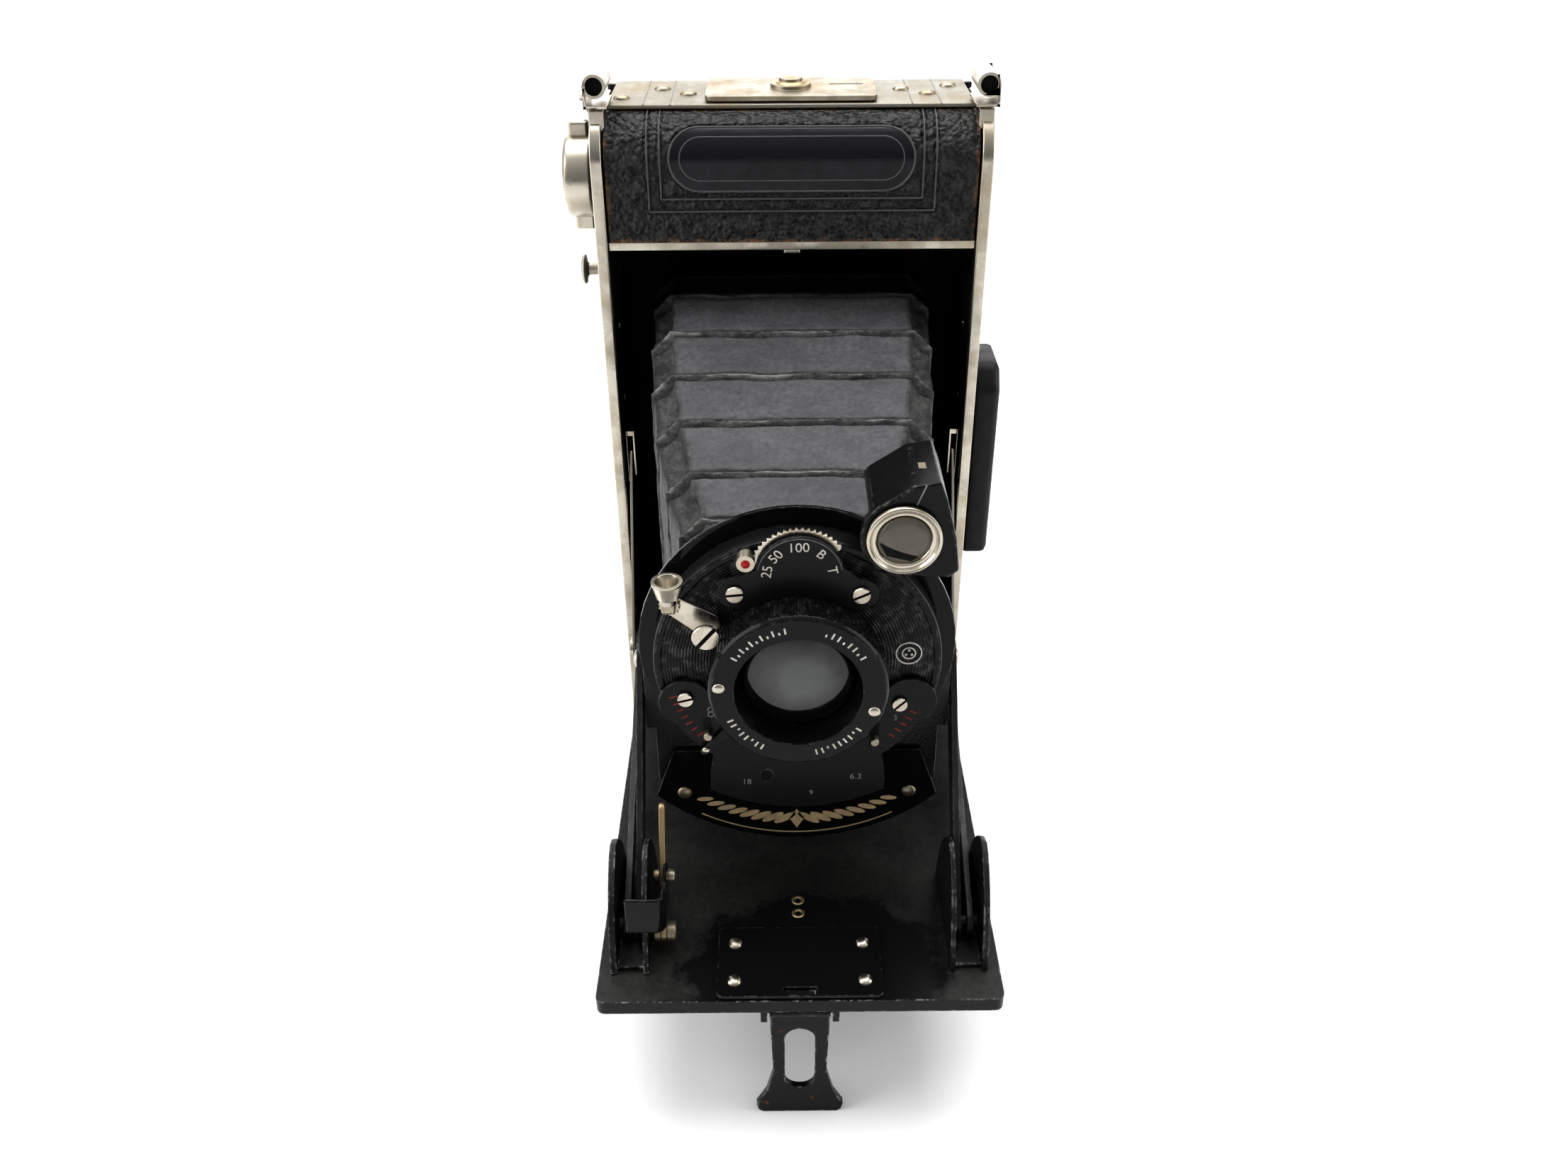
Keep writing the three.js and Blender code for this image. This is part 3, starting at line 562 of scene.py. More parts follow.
def turned(points, x, z, angle):
    """Points turned by an angle in degrees and carried to (x, z)."""
    c, s = math.cos(math.radians(angle)), math.sin(math.radians(angle))
    return [(x + u * c - v * s, z + u * s + v * c) for u, v in points]


def dash(bm, angle, inner, outer, half_width, front, back):
    """A short radial mark round the lens axis."""
    bar = [(inner, -half_width), (outer, -half_width), (outer, half_width), (inner, half_width)]
    add_plate(bm, turned(bar, 0, AXIS_Z, angle), front, back)


def blocks(name, look, body, boxes, edge=0.0, smooth=True):
    """One piece made of plain boxes, each x0, x1, y0, y1, z0, z1."""
    bm = bmesh.new()
    for box in boxes:
        add_block(bm, *box)
    finish_piece(bm, name, look, body, edge, smooth)


def skin(bm, rows):
    """Faces between rows of vertices."""
    for a, b in zip(rows, rows[1:]):
        for i in range(len(a) - 1):
            bm.faces.new((a[i], a[i + 1], b[i + 1], b[i]))


def sweep(bm, path, radius, sides=10, closed=False):
    """A round bar along a list of points."""
    points = [Vector(p) for p in path]
    rings = []
    for i, p in enumerate(points):
        before = points[i - 1] if i or closed else p
        after = points[(i + 1) % len(points)] if i + 1 < len(points) or closed else p
        forward = (after - before).normalized()
        side = forward.orthogonal() if abs(forward.y) > 0.9 else forward.cross(Vector((0, 1, 0)))
        side.normalize()
        up = forward.cross(side)
        rings.append([bm.verts.new(p + radius * (math.cos(t) * side + math.sin(t) * up))
                      for t in [2 * math.pi * k / sides for k in range(sides)]])
    last = len(points) if closed else len(points) - 1
    for i in range(last):
        a, b = rings[i], rings[(i + 1) % len(points)]
        for k in range(sides):
            bm.faces.new((a[k], a[(k + 1) % sides], b[(k + 1) % sides], b[k]))
    if not closed:
        bm.faces.new(rings[0])
        bm.faces.new(reversed(rings[-1]))
    return bm


# ------------ bellows
BELLOWS_FOLDS = [-10.0, -22.0, -34.0, -46.6, -60.0, -71.0]     # outer edges of the pleats along Y
PER_PLEAT, PER_SIDE, PER_CORNER = 30, 44, 8                    # steps of the bellows mesh


def bellows():
    """Pleated leather tube with chamfered corners: flat stiffened panels between frayed folds."""
    low, high = node_box("bellows")
    rear_y, front_y = high.y - 0.2, low.y + 0.2
    # half width, bottom, top and corner chamfer at stations along Y
    sections = [(rear_y, 29.4, low.z + 0.2, high.z - 0.2, 3.4), (-12.0, 29.8, 44.5, 125.4, 3.6),
                (-30.0, 29.3, 52.0, 118.9, 4.2), (-45.0, 27.9, 57.0, 113.6, 4.4),
                (-60.0, 24.8, 62.0, 108.6, 4.4), (-71.0, 21.8, 65.6, 105.0, 4.2),
                (front_y, 18.0, 67.0, 103.6, 4.0)]

    def section(y):
        for a, b in zip(sections, sections[1:]):
            if y >= b[0]:
                t = (y - a[0]) / (b[0] - a[0])
                return [p + (q - p) * t for p, q in zip(a[1:], b[1:])]
        return sections[-1][1:]

    folds = [rear_y, 0.0] + BELLOWS_FOLDS + [front_y]
    stations = []
    for i in range(len(folds) - 1):
        a, b = folds[i], folds[i + 1]
        for k in range(PER_PLEAT):
            t = k / PER_PLEAT - 0.1 * math.sin(2 * math.pi * k / PER_PLEAT)
            stations.append((a + (b - a) * t, t, i))
    stations.append((front_y, 1.0, len(folds) - 2))
    bm = bmesh.new()
    panel_layer, fold_layer, crease_shade_layer, painted_shade_layer = [
        bm.verts.layers.float.new(name) for name in ("panel", "fold", "crease_shade", "shade")]
    ridge_width, crease_at, crease_width = 0.024, 0.055, 0.017     # as parts of a pleat
    rings = []
    for y, t, index in stations:
        half, z0, z1, chamfer = section(y)
        near_fold = min(t, 1 - t)
        ridge = math.exp(-(near_fold / ridge_width) ** 2)
        # the crease beside each fold: a groove in the mesh, with painted shade in its colour
        crease_shade = math.exp(-((near_fold - crease_at) / crease_width) ** 2)
        # painted shadow of the body: the rear pleat goes black behind y = -13
        shade = min(1.0, max(0.0, (y + 13.0) / 5.0))
        lift = 0.45 * ridge - 0.75 * crease_shade - 0.5 - 0.35 * math.sin(math.pi * t)
        ring = []
        half, z0, z1 = half + lift, z0 - lift, z1 + lift
        corner_dip = 3.4 * math.sin(math.pi * t) ** 0.7
        # each side: its run and level, which way it faces, and the corner after it
        sides = [(-half + chamfer, half - chamfer, z1, (0, 1), (half, z1, 1, 1)),
                 (z1 - chamfer, z0 + chamfer, half, (1, 0), (half, z0, 1, -1)),
                 (half - chamfer, -half + chamfer, z0, (0, -1), (-half, z0, -1, -1)),
                 (z0 + chamfer, z1 - chamfer, -half, (-1, 0), (-half, z1, -1, 1))]
        for start, end, level, (out_x, out_z), (cx, cz, sx, sz) in sides:
            upright = out_x != 0
            for k in range(PER_SIDE + 1):
                u = k / PER_SIDE
                value = start + (end - start) * u
                p = Vector((level, y, value)) if upright else Vector((value, y, level))
                edge = min(u, 1 - u) * abs(end - start)
                # a stiffener card under the leather stops short of the folds and the corners
                card = min(1, max(0, (edge - 0.7) / 0.5)) * min(1, max(0, (near_fold - 0.07) / 0.03))
                wave = noise.noise(Vector((p.x * 0.11, y * 0.21, p.z * 0.11))) * 0.45
                wave += noise.noise(Vector((p.x * 0.5, y * 0.9, p.z * 0.5))) * 0.16
                shift = 0.35 * noise.noise(Vector((p.x * 0.35, index * 5.0, p.z * 0.35)))
                p.y += shift * (1 - card)
                p = p + Vector((out_x, 0, out_z)) * (0.3 * card + wave)
                v = bm.verts.new(p)
                patchy = noise.noise(Vector((p.x * 0.2, index * 3.0, p.z * 0.2)))
                v[panel_layer] = card
                v[crease_shade_layer] = crease_shade * max(0.0, 0.75 + 0.6 * patchy)
                v[fold_layer] = ridge
                # painted shade: the upright side panels are mixed at least 0.55 towards black
                v[painted_shade_layer] = max(shade, 0.55) if upright else shade
                ring.append(v)
            # the corner tucks in between two folds
            for k in range(1, PER_CORNER):
                u = k / PER_CORNER
                along_x, along_z = (u, 1 - u) if upright else (1 - u, u)
                px, pz = cx - sx * chamfer * along_x, cz - sz * chamfer * along_z
                inward = corner_dip * math.sin(math.pi * u) * 0.6
                p = Vector((px - sx * inward, y, pz - sz * inward))
                p.x += 0.4 * noise.noise(Vector((y * 0.9, px, pz)))
                v = bm.verts.new(p)
                v[crease_shade_layer] = crease_shade * 0.6
                v[fold_layer] = ridge * 0.8
                v[painted_shade_layer] = shade
                ring.append(v)
        rings.append(ring)
    # a second skin inside gives the leather its thickness
    thickness = 0.7
    lining = []
    for ring in rings:
        centre_z = (max(v.co.z for v in ring) + min(v.co.z for v in ring)) / 2
        inner = []
        for v in ring:
            towards = Vector((-v.co.x, 0, centre_z - v.co.z)).normalized()
            inner.append(bm.verts.new(v.co + towards * thickness))
        lining.append(inner)
    count = len(rings[0])
    for outer_a, outer_b, inner_a, inner_b in zip(rings, rings[1:], lining, lining[1:]):
        for k in range(count):
            n = (k + 1) % count
            bm.faces.new((outer_a[k], outer_a[n], outer_b[n], outer_b[k]))
            bm.faces.new((inner_a[n], inner_a[k], inner_b[k], inner_b[n]))
    for outer, inner in ((rings[0], lining[0]), (rings[-1], lining[-1])):
        for k in range(count):
            n = (k + 1) % count
            bm.faces.new((outer[k], inner[k], inner[n], outer[n]))
    bmesh.ops.recalc_face_normals(bm, faces=bm.faces[:])
    obj = finish_piece(bm, "bellows_leather_tube", "bellows", "root",
                       replaced=("bellows",))
    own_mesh(obj)


bellows()


# ------------ top panel leather
def top_leather():
    """The leather round the film chamber, from the top plate to the opening, with its pressed frame."""
    low, high = node_box("top_chamber_cover")
    half = RIM_INNER - 0.35
    edge_z = low.z + 1.6
    front = low.y + 0.1
    bend_z = BODY_TOP - 9
    radius = high.z - bend_z
    rise_steps, bend_steps, line_width = 70, 48, 0.42
    path = [(front, edge_z + (bend_z - edge_z) * i / rise_steps) for i in range(rise_steps)]
    cy, cz = front + radius, bend_z
    path += [(cy - radius * math.cos(a), cz + radius * math.sin(a))
             for a in [math.pi / 2 * i / bend_steps for i in range(bend_steps + 1)]]
    length = [0.0]
    for (y0, z0), (y1, z1) in zip(path, path[1:]):
        length.append(length[-1] + math.hypot(y1 - y0, z1 - z0))
    columns = 220
    bm = bmesh.new()
    border = bm.verts.layers.float.new("border")
    pressed = bm.verts.layers.float.new("pressed")
    frame_half, frame_low, frame_gap = 28.7, 6.3, 2.5
    frame_high = length[-1] + 1.0
    badge_half, badge_r, badge_at = 24.4, 6.3, 16.6

    def line(distance):
        return math.exp(-(distance / line_width) ** 2)

    rows = []
    for j, (y, z) in enumerate(path):
        before, after = path[max(j - 1, 0)], path[min(j + 1, len(path) - 1)]
        up = Vector((0, after[0] - before[0], after[1] - before[1])).normalized()
        outward = Vector((0, -up.z, up.y))
        row = []
        for i in range(columns + 1):
            x = -half + 2 * half * i / columns
            s = length[j]
            frame_lines = 0.0
            for inset in (0.0, frame_gap):
                dx = abs(abs(x) - (frame_half - inset))
                ds = abs(s - (frame_low + inset))
                if frame_low + inset <= s <= frame_high:
                    frame_lines = max(frame_lines, line(dx))
                if abs(x) <= frame_half - inset:
                    frame_lines = max(frame_lines, line(ds))
            stadium = math.hypot(max(0.0, abs(x) - (badge_half - badge_r)), s - badge_at) - badge_r
            outline = max(line(stadium), line(stadium + 1.3))
            inside = 1.0 if stadium < -1.3 else 0.0
            dip = 0.35 * max(frame_lines, outline) + 0.12 * inside
            grain = 0.05 * noise.noise(Vector((x * 1.7, s * 1.7, 3.0)))
            v = bm.verts.new(Vector((x, y, z)) + outward * (0.12 - dip + grain * (1 - inside)))
            edge = min(half - abs(x), s, length[-1] + 0.1 - s)
            wander = 0.5 + 0.9 * noise.noise(Vector((x * 0.25, s * 0.25, 9.0)))
            v[border] = max(0.0, min(1.0, 1.1 - edge / (0.45 + 0.6 * wander)))
            v[pressed] = max(inside * 0.8, frame_lines, outline)
            row.append(v)
        rows.append(row)
    skin(bm, rows)
    geometry = bm.faces[:]
    bmesh.ops.recalc_face_normals(bm, faces=geometry)
    if geometry[0].normal.y > 0:
        bmesh.ops.reverse_faces(bm, faces=geometry)
    bmesh.ops.solidify(bm, geom=geometry, thickness=0.35)
    finish_piece(bm, "top_panel_leather", "leather", "root")

    def on_panel(x, s, lift=0.16):
        i = 0
        while i < len(length) - 2 and length[i + 1] < s:
            i += 1
        t = (s - length[i]) / (length[i + 1] - length[i])
        (y0, z0), (y1, z1) = path[i], path[i + 1]
        out = Vector((0, -(z1 - z0), y1 - y0)).normalized()
        return Vector((x, y0 + (y1 - y0) * t, z0 + (z1 - z0) * t)) + out * lift

    # raised lines along the pressed frame and round its cartouche, coloured lighter than the leather as
    # painted highlights
    beads = bmesh.new()
    top_s = length[-1] - 0.3
    for inset in (0.0, frame_gap):
        x_end, s_low = frame_half - inset, frame_low + inset
        run = [on_panel(-x_end, top_s - (top_s - s_low) * k / 40) for k in range(41)]
        run += [on_panel(-x_end + 2 * x_end * k / 40, s_low) for k in range(1, 41)]
        run += [on_panel(x_end, s_low + (top_s - s_low) * k / 40) for k in range(1, 41)]
        sweep(beads, run, 0.2, 8)
    for shrink in (0.0, 2.1):
        r = badge_r - shrink
        run = [on_panel(x, badge_at + s) for x, s in
               arc(badge_half - badge_r, 0, r, -90, 90, 24) + arc(badge_r - badge_half, 0, r, 90, 270, 24)]
        dense = []
        for k, p in enumerate(run):
            q = run[(k + 1) % len(run)]
            pieces = 24 if (q - p).length > 5 else 1
            for n in range(pieces):
                dense.append(p + (q - p) * n / pieces)
        sweep(beads, dense, 0.24 if not shrink else 0.15, 8, closed=True)
    finish_piece(beads, "pressed_frame", "leather_line_highlight", "root")
    smooth_patch = bmesh.new()
    grid = []
    across, along_s = 72, 22
    for j in range(along_s + 1):
        s = -badge_r + 2 * badge_r * j / along_s
        reach = badge_half - badge_r + math.sqrt(max(0.0, badge_r ** 2 - s ** 2))
        grid.append([smooth_patch.verts.new(on_panel(reach * (2 * i / across - 1), badge_at + s, 0.2))
                     for i in range(across + 1)])
    skin(smooth_patch, grid)
    bmesh.ops.remove_doubles(smooth_patch, verts=smooth_patch.verts, dist=1e-5)
    bmesh.ops.solidify(smooth_patch, geom=smooth_patch.faces[:], thickness=0.3)
    finish_piece(smooth_patch, "pressed_cartouche", "leather_smooth", "root", smooth=False)
    # nickel lip along the leather's lower edge
    strip = bmesh.new()
    y0, y1 = front - 0.15, front + 0.9
    section = above(edge_z, (y0, -1.7), (y1, -1.7), (y1, 0.1), (y0, 0.1))
    add_plate(strip, section, -half - 0.2, half + 0.2, "YZ")
    finish_piece(strip, "opening_lip", "nickel", "root", edge=0.2)


top_leather()


# ------------ body trim
rivets("inner_wall_rivets", [(side * (RIM_INNER - 0.1), y, z) for side in (-1, 1)
                             for y, z in ((-8.0, 101.0), (-8.0, 118.0))], 1.0, 0.3, "X", 1, "root")


def winding_knob():
    """Nickel key, turned plain here without the real key's flutes: a round knob with a bar through it."""
    low, high = node_box("winding_key")
    mid = centre("winding_key")
    r = 8.45
    outline = above(high.x, (0, -0.02), (r - 1.2, -0.02), (r - 0.2, -0.6), (r, -1.2))
    outline += above(low.x, (r, 1.5), (r - 0.25, 0.7), (r - 0.9, 0.18), (r - 1.7, 0.02), (r - 2.3, 0.25),
                     (r - 2.6, 0.5), (0, 0.5))
    bm = lathe(outline, (0, mid.y, mid.z), "X", 72)
    finish_piece(bm, "winding_knob", "nickel", "winding", edge=0.08, replaced=("winding_key",))
    bar = (-45.6, -41.5, mid.y - 1.4, mid.y + 1.4, low.z + 0.1, high.z - 0.1)
    blocks("winding_bar", "nickel", "winding", [bar], edge=0.6)


winding_knob()


def mushroom_button():
    """Domed button that frees the front door, on a thin stem."""
    low, high = node_box("door_button")
    mid = centre("door_button")
    rr = 3.25
    profile = above(low.x, (0, 0.02), (1.6, 0.06), (rr - 0.5, 0.35), (rr, 0.8), (rr - 0.15, 1.15), (1.7, 1.4),
                    (1.3, 1.8)) + [(1.25, high.x - 0.1), (0, high.x - 0.1)]
    bm = lathe(profile, (0, mid.y, mid.z), "X", 40)
    finish_piece(bm, "button_head", "nickel_soft", "door_button", edge=0.08,
                 replaced=("door_button",))


mushroom_button()


# ------------ shutter
def shutter_case():
    """Round case: satin rim, black face turned with fine rings."""
    back, front = CASE_HIGH.y - 0.02, CASE_FRONT
    profile = [(12.3, front + 1.1), (12.3, front + 0.02)]
    r, groove_pitch = 12.6, 0.55
    while r < CASE_R - 2.2:
        profile += above(front, (r, 0.02), (r + 0.16, 0.14), (r + 0.32, 0.02))
        r += groove_pitch
    rim = above(front, (1.9, 0.02), (1.6, 0.3), (1.3, 0.02), (0.6, 0.02), (0.15, 0.25), (0.02, 0.7))
    rim += above(back, (0.02, -1.2), (0.3, -1.0), (0.3, 0), (1.1, 0)) + [(1.1, front + 1.1)]
    profile += [(CASE_R - inset, y) for inset, y in rim]
    bm = lathe(profile, (0, 0, AXIS_Z), "Y", 144)
    finish_piece(bm, "shutter_case_turned", "case", "standard", edge=0.04,
                 replaced=("shutter_case",))


shutter_case()


def focusing_ring():
    """Front ring: flat face with engraved dashes, knurled rim, stepped bowl down to the glass."""
    low, high = node_box("focusing_ring")
    front, back = low.y, high.y
    ring_back = node_box("aperture_ring")[0].y - 0.3
    outer = high.x
    profile = [(10.25, back - 0.05), (10.25, ring_back - 1.2), (10.6, ring_back - 1.9)]
    depth, r = ring_back - 2.0, 10.3
    while r < 11.0:
        profile += [(r, depth), (r + 0.1, depth - 0.3)]
        depth -= 0.42
        r += 0.14
    profile += above(front, (11.25, 0.12), (11.4, 0.02), (15.1, 0.02), (15.35, 0.15), (outer - 0.1, 0.8),
                     (outer - 0.02, 1.3))
    knurl_from = len(profile) - 1
    profile += [(outer - 0.02, ring_back - 0.35), (outer - 0.25, ring_back - 0.05)]
    knurl_to = len(profile) - 2
    profile += [(11.7, ring_back - 0.05), (11.7, back - 0.05)]

    def knurl(i, j):
        return -0.22 if knurl_from <= j <= knurl_to and i % 3 == 0 else 0

    bm = lathe(profile, (0, 0, AXIS_Z), "Y", 288, knurl)
    finish_piece(bm, "focus_ring_knurled", "gloss", "focusing", edge=0.03,
                 replaced=("focusing_ring",))
    # plain engraved dashes where a maker would sign the ring
    bm = bmesh.new()
    for start, stop, step in ((34, 74, 5.0), (100, 146, 4.6), (206, 246, 5.0), (284, 328, 4.9)):
        angle = start
        while angle < stop:
            dash(bm, angle, 12.75, 13.95 if round(angle) % 3 else 13.3, 0.17, front - 0.03, front + 0.1)
            angle += step
    finish_piece(bm, "focus_ring_dashes", "ink", "focusing", smooth=False)


focusing_ring()


def front_glass():
    """Polished, gently domed front element."""
    low, high = node_box("front_lens")
    mid = centre("front_lens")
    radius, bulge, steps = 9.8, 1.35, 12
    profile = [(0, low.y + 0.02)]
    for i in range(1, steps + 1):
        r = radius * i / steps
        profile.append((r, low.y + 0.02 + bulge * (r / radius) ** 2))
    profile += [(9.85, high.y - 0.2), (0, high.y - 0.05)]
    bm = lathe(profile, (0, 0, mid.z), "Y", 72)
    finish_piece(bm, "front_glass", "front_lens", "focusing", replaced=("front_lens",))


front_glass()

screw("wing_screw_left", -20.4, AXIS_Z - 6.8, PLATE_FRONT, 1.5, 15)
screw("wing_screw_right", 18.6, AXIS_Z - 8.3, PLATE_FRONT, 1.45, 45)
screw("speed_screw_left", -10.9, 102.0, SPEED_FRONT, 1.6, 5)
screw("speed_screw_right", 10.9, 101.6, SPEED_FRONT, 1.6, 25)
screw("lever_screw", -16.0, 94.3, node_box("release_lever")[0].y + 1.05, 2.5, 50, body="release_lever")
for name, side in (("arm_pin_heads", 1), ("arm_pin_heads_left", -1)):
    rivets(name, [(side * 30.4, -76.0, 77.0)], 1.9, 0.8, "X", side, "arms")
rivets("catch_plate_rivets", [(x, y, BED_TOP + 1.0) for x in (-12.0, 12.0) for y in (-108.5, -117.4)],
       1.35, 0.75, "Z", 1, "bed")
rivets("name_plate_rivets", [(side * 22.2, node_box("name_plate")[0].y, 49.5) for side in (-1, 1)],
       1.45, 0.6, "Y", -1, "standard", "nickel_dull")


def top_fittings():
    """Domed rivets, plate seams and the stepped rosette of the back latch."""
    spots = [(-34.4, -3.0), (-26.6, 5.5), (-21.0, 0.5), (22.9, 4.5), (28.0, 0.0), (33.0, 7.5)]
    rivets("top_plate_rivets", [(x, y, BODY_TOP + 0.5) for x, y in spots], 1.75, 0.85, "Z", 1, "root",
           "nickel_dull")
    latch_top = BODY_TOP + 1.8
    steps = above(latch_top, (0, 0.01), (4.15, 0.01), (4.15, 0.3), (3.7, 0.75), (3.4, 0.6), (2.9, 1.15),
                  (2.6, 1.0), (2.1, 1.5), (1.8, 1.35), (1.1, 1.85), (0, 1.95))
    bm = lathe(steps, (0, 1.0, 0), "Z", 48)
    finish_piece(bm, "latch_rosette", "brass", "back_latch", edge=0.05)
    bm = bmesh.new()
    add_plate(bm, [(8.0, 3.0), (13.5, 3.0), (13.5, 2.4), (15.0, 3.3), (13.5, 4.2), (13.5, 3.6), (8.0, 3.6)],
              latch_top, latch_top + 0.06, "XY")
    finish_piece(bm, "latch_arrow", "ink_grey", "back_latch", smooth=False)
    seams = [(x - 0.12, x + 0.12, -9.0, 14.0, BODY_TOP + 0.45, BODY_TOP + 0.54)
             for x in (-29.6, -24.2, 24.2, 30.0)]
    blocks("top_plate_seams", "ink_grey", "root", seams, smooth=False)


top_fittings()


def strap_lugs():
    """Each lug is a strip rolled into a tube over a thin foot on the outer side."""
    for side, name in ((-1, "left_strap_lug"), (1, "right_strap_lug")):
        low, high = node_box(name)
        r = 2.3
        outer = high.x if side > 0 else low.x
        x = outer - side * r
        z = high.z - r
        y0, y1, foot = low.y + 0.1, high.y - 0.1, low.z + 0.02
        bm = lathe([(r, y0), (r, y1), (r - 0.6, y1), (r - 0.6, y0)], (x, 0, z), "Y", 40)
        add_block(bm, *sorted((outer, outer - side * 0.6)), y0, y1, foot, z)
        add_block(bm, *sorted((outer, outer - side * 4.6)), y0, y1, foot, low.z + 0.6)
        finish_piece(bm, name.replace("strap_lug", "rolled_lug"), "nickel", "root", edge=0.08,
                     replaced=(name,))
        y0, y1, bore = low.y + 1.2, high.y - 1.2, r - 0.62
        bm = lathe([(0, y0), (bore, y0), (bore, y1), (0, y1)], (x, 0, z), "Y", 24)
        finish_piece(bm, name.replace("strap_lug", "lug_shadow"), "matt_black_and_painted_shade", "root",
                     smooth=False)


strap_lugs()


def corner_clips():
    """Small folded clips where each rim meets the top plate, and the catch at the top of the opening."""
    clips = [(x0, x1, -14.4, -9.2, BODY_TOP - 3.4, BODY_TOP + 0.6)
             for x0, x1 in ((-40.0, -36.9), (36.9, 40.0))]
    blocks("corner_clips", "nickel", "root", clips, edge=0.3)
    blocks("bed_catch", "nickel", "root", [(-1.7, 1.7, -16.6, -15.0, 136.5, 137.6)], edge=0.3)


corner_clips()


def bed_studs():
    """Two small ringed studs in the middle of the bed, and the floor of its catch slot."""
    bm = bmesh.new()
    for y in (-96.6, -100.0):
        stud = above(BED_TOP, (0.55, -0.1), (1.25, -0.1), (1.25, 0.12), (1.0, 0.25), (0.7, 0.2), (0.55, 0.05))
        add_lathe(bm, stud, (0, y, 0), "Z", 28)
    finish_piece(bm, "bed_studs", "brass", "bed", edge=0.03)
    slot_floor = (-2.9, 2.9, -120.5, -119.1, BED_TOP + 0.05, BED_TOP + 0.3)
    blocks("catch_slot_floor", "bracket", "bed", [slot_floor], smooth=False)


bed_studs()


def strut_release():
    """Brass strip with two pairs of rollers and a bent, glossy black finger tab."""
    foot, head = Vector((-108.0, 37.0)), Vector((-98.0, 58.6))
    outline = bar_outline(foot, head, 1.9, 1.0, 10, 8)
    strip = add_plate(bmesh.new(), outline, -25.8, -24.7, "YZ")
    finish_piece(strip, "release_strip", "brass", "strut_release", edge=0.15,
                 replaced=("strut_release",))
    bm = bmesh.new()
    for y, z, r in ((-103.5, 47.0, 1.15), (foot.x, foot.y, 1.9)):
        for x0, x1 in ((-27.1, -25.8), (-24.7, -23.0)):
            add_lathe(bm, [(0, x0), (r, x0), (r, x1), (0, x1)], (0, y, z), "X", 24)
    finish_piece(bm, "release_rollers", "nickel_dull", "strut_release", edge=0.2)
    outline = [(-24.3, -103.0), (-24.3, -111.2)] + arc(-26.2, -111.2, 1.9, 0, -90, 8)
    outline += [(-31.6, -113.1), (-31.6, -112.3)] + arc(-26.2, -111.2, 1.1, -90, 0, 8)
    outline += [(-25.1, -103.0)]
    tab = add_plate(bmesh.new(), outline, 41.8, 50.0, "XY")
    finish_piece(tab, "release_tab", "gloss", "strut_release", edge=0.35)


strut_release()


def finder():
    """Brilliant finder: stepped nickel bezel; domed glass over a tilted mirror, drawn opaque with the view
    painted on it and a dark band of painted shade; and the hood's seam.
    """
    mid = centre("finder_ring")
    low, high = node_box("finder_ring")
    back = high.y - 0.02
    rim = above(low.y, (4.55, 0.75), (4.9, 0.45), (5.35, 0.5), (5.5, 0.62), (5.65, 0.42), (5.85, 0.1),
                (6.1, 0.02), (6.35, 0.18), (6.48, 0.5))
    profile = [(4.55, back)] + rim + [(6.48, back)]
    finish_piece(lathe(profile, (mid.x, 0, mid.z), "Y", 80), "finder_bezel", "nickel", "finder",
                 edge=0.04, replaced=("finder_ring",))
    glass_low, glass_high = node_box("finder_lens")
    profile = above(glass_low.y, (0, -0.3), (1.6, -0.24), (3.2, -0.06), (4.5, 0.3))
    profile += above(glass_high.y, (4.5, -0.2), (0, -0.2))
    # the glass is opaque; its colour is a painted image of the finder's view
    bm = lathe(profile, (mid.x, 0, mid.z), "Y", 56)
    finish_piece(bm, "finder_glass", "painted_finder_view", "finder", replaced=("finder_lens",))
    # painted shade: a dark band laid on the glass's painted view
    band = turned(((-0.6, -3.9), (3.3, -2.2), (3.7, -1.0), (-2.9, -2.9)), mid.x, mid.z, -38)
    bm = add_plate(bmesh.new(), band, glass_low.y - 0.2, glass_low.y + 0.25)
    finish_piece(bm, "finder_painted_dark_band", "matt_black_and_painted_shade", "finder", smooth=False)
    top_x, seam_y = 21.0, -92.42
    bm = sweep(bmesh.new(), [(top_x, seam_y, 122.7), (mid.x + 1.9, seam_y, mid.z + 6.4)], 0.14, 8)
    finish_piece(bm, "finder_seam", "ink_grey", "finder")
    half = 0.8 * math.cos(math.atan2(0.8, 4.5))
    quad = [(top_x - half, -86.6), (top_x + half, -86.6), (top_x + half, -84.4), (top_x - half, -84.4)]
    bm = add_plate(bmesh.new(), quad, 122.68, 122.86, "XY")
    finish_piece(bm, "finder_hood_mark", "nickel_dull", "finder", smooth=False)


finder()


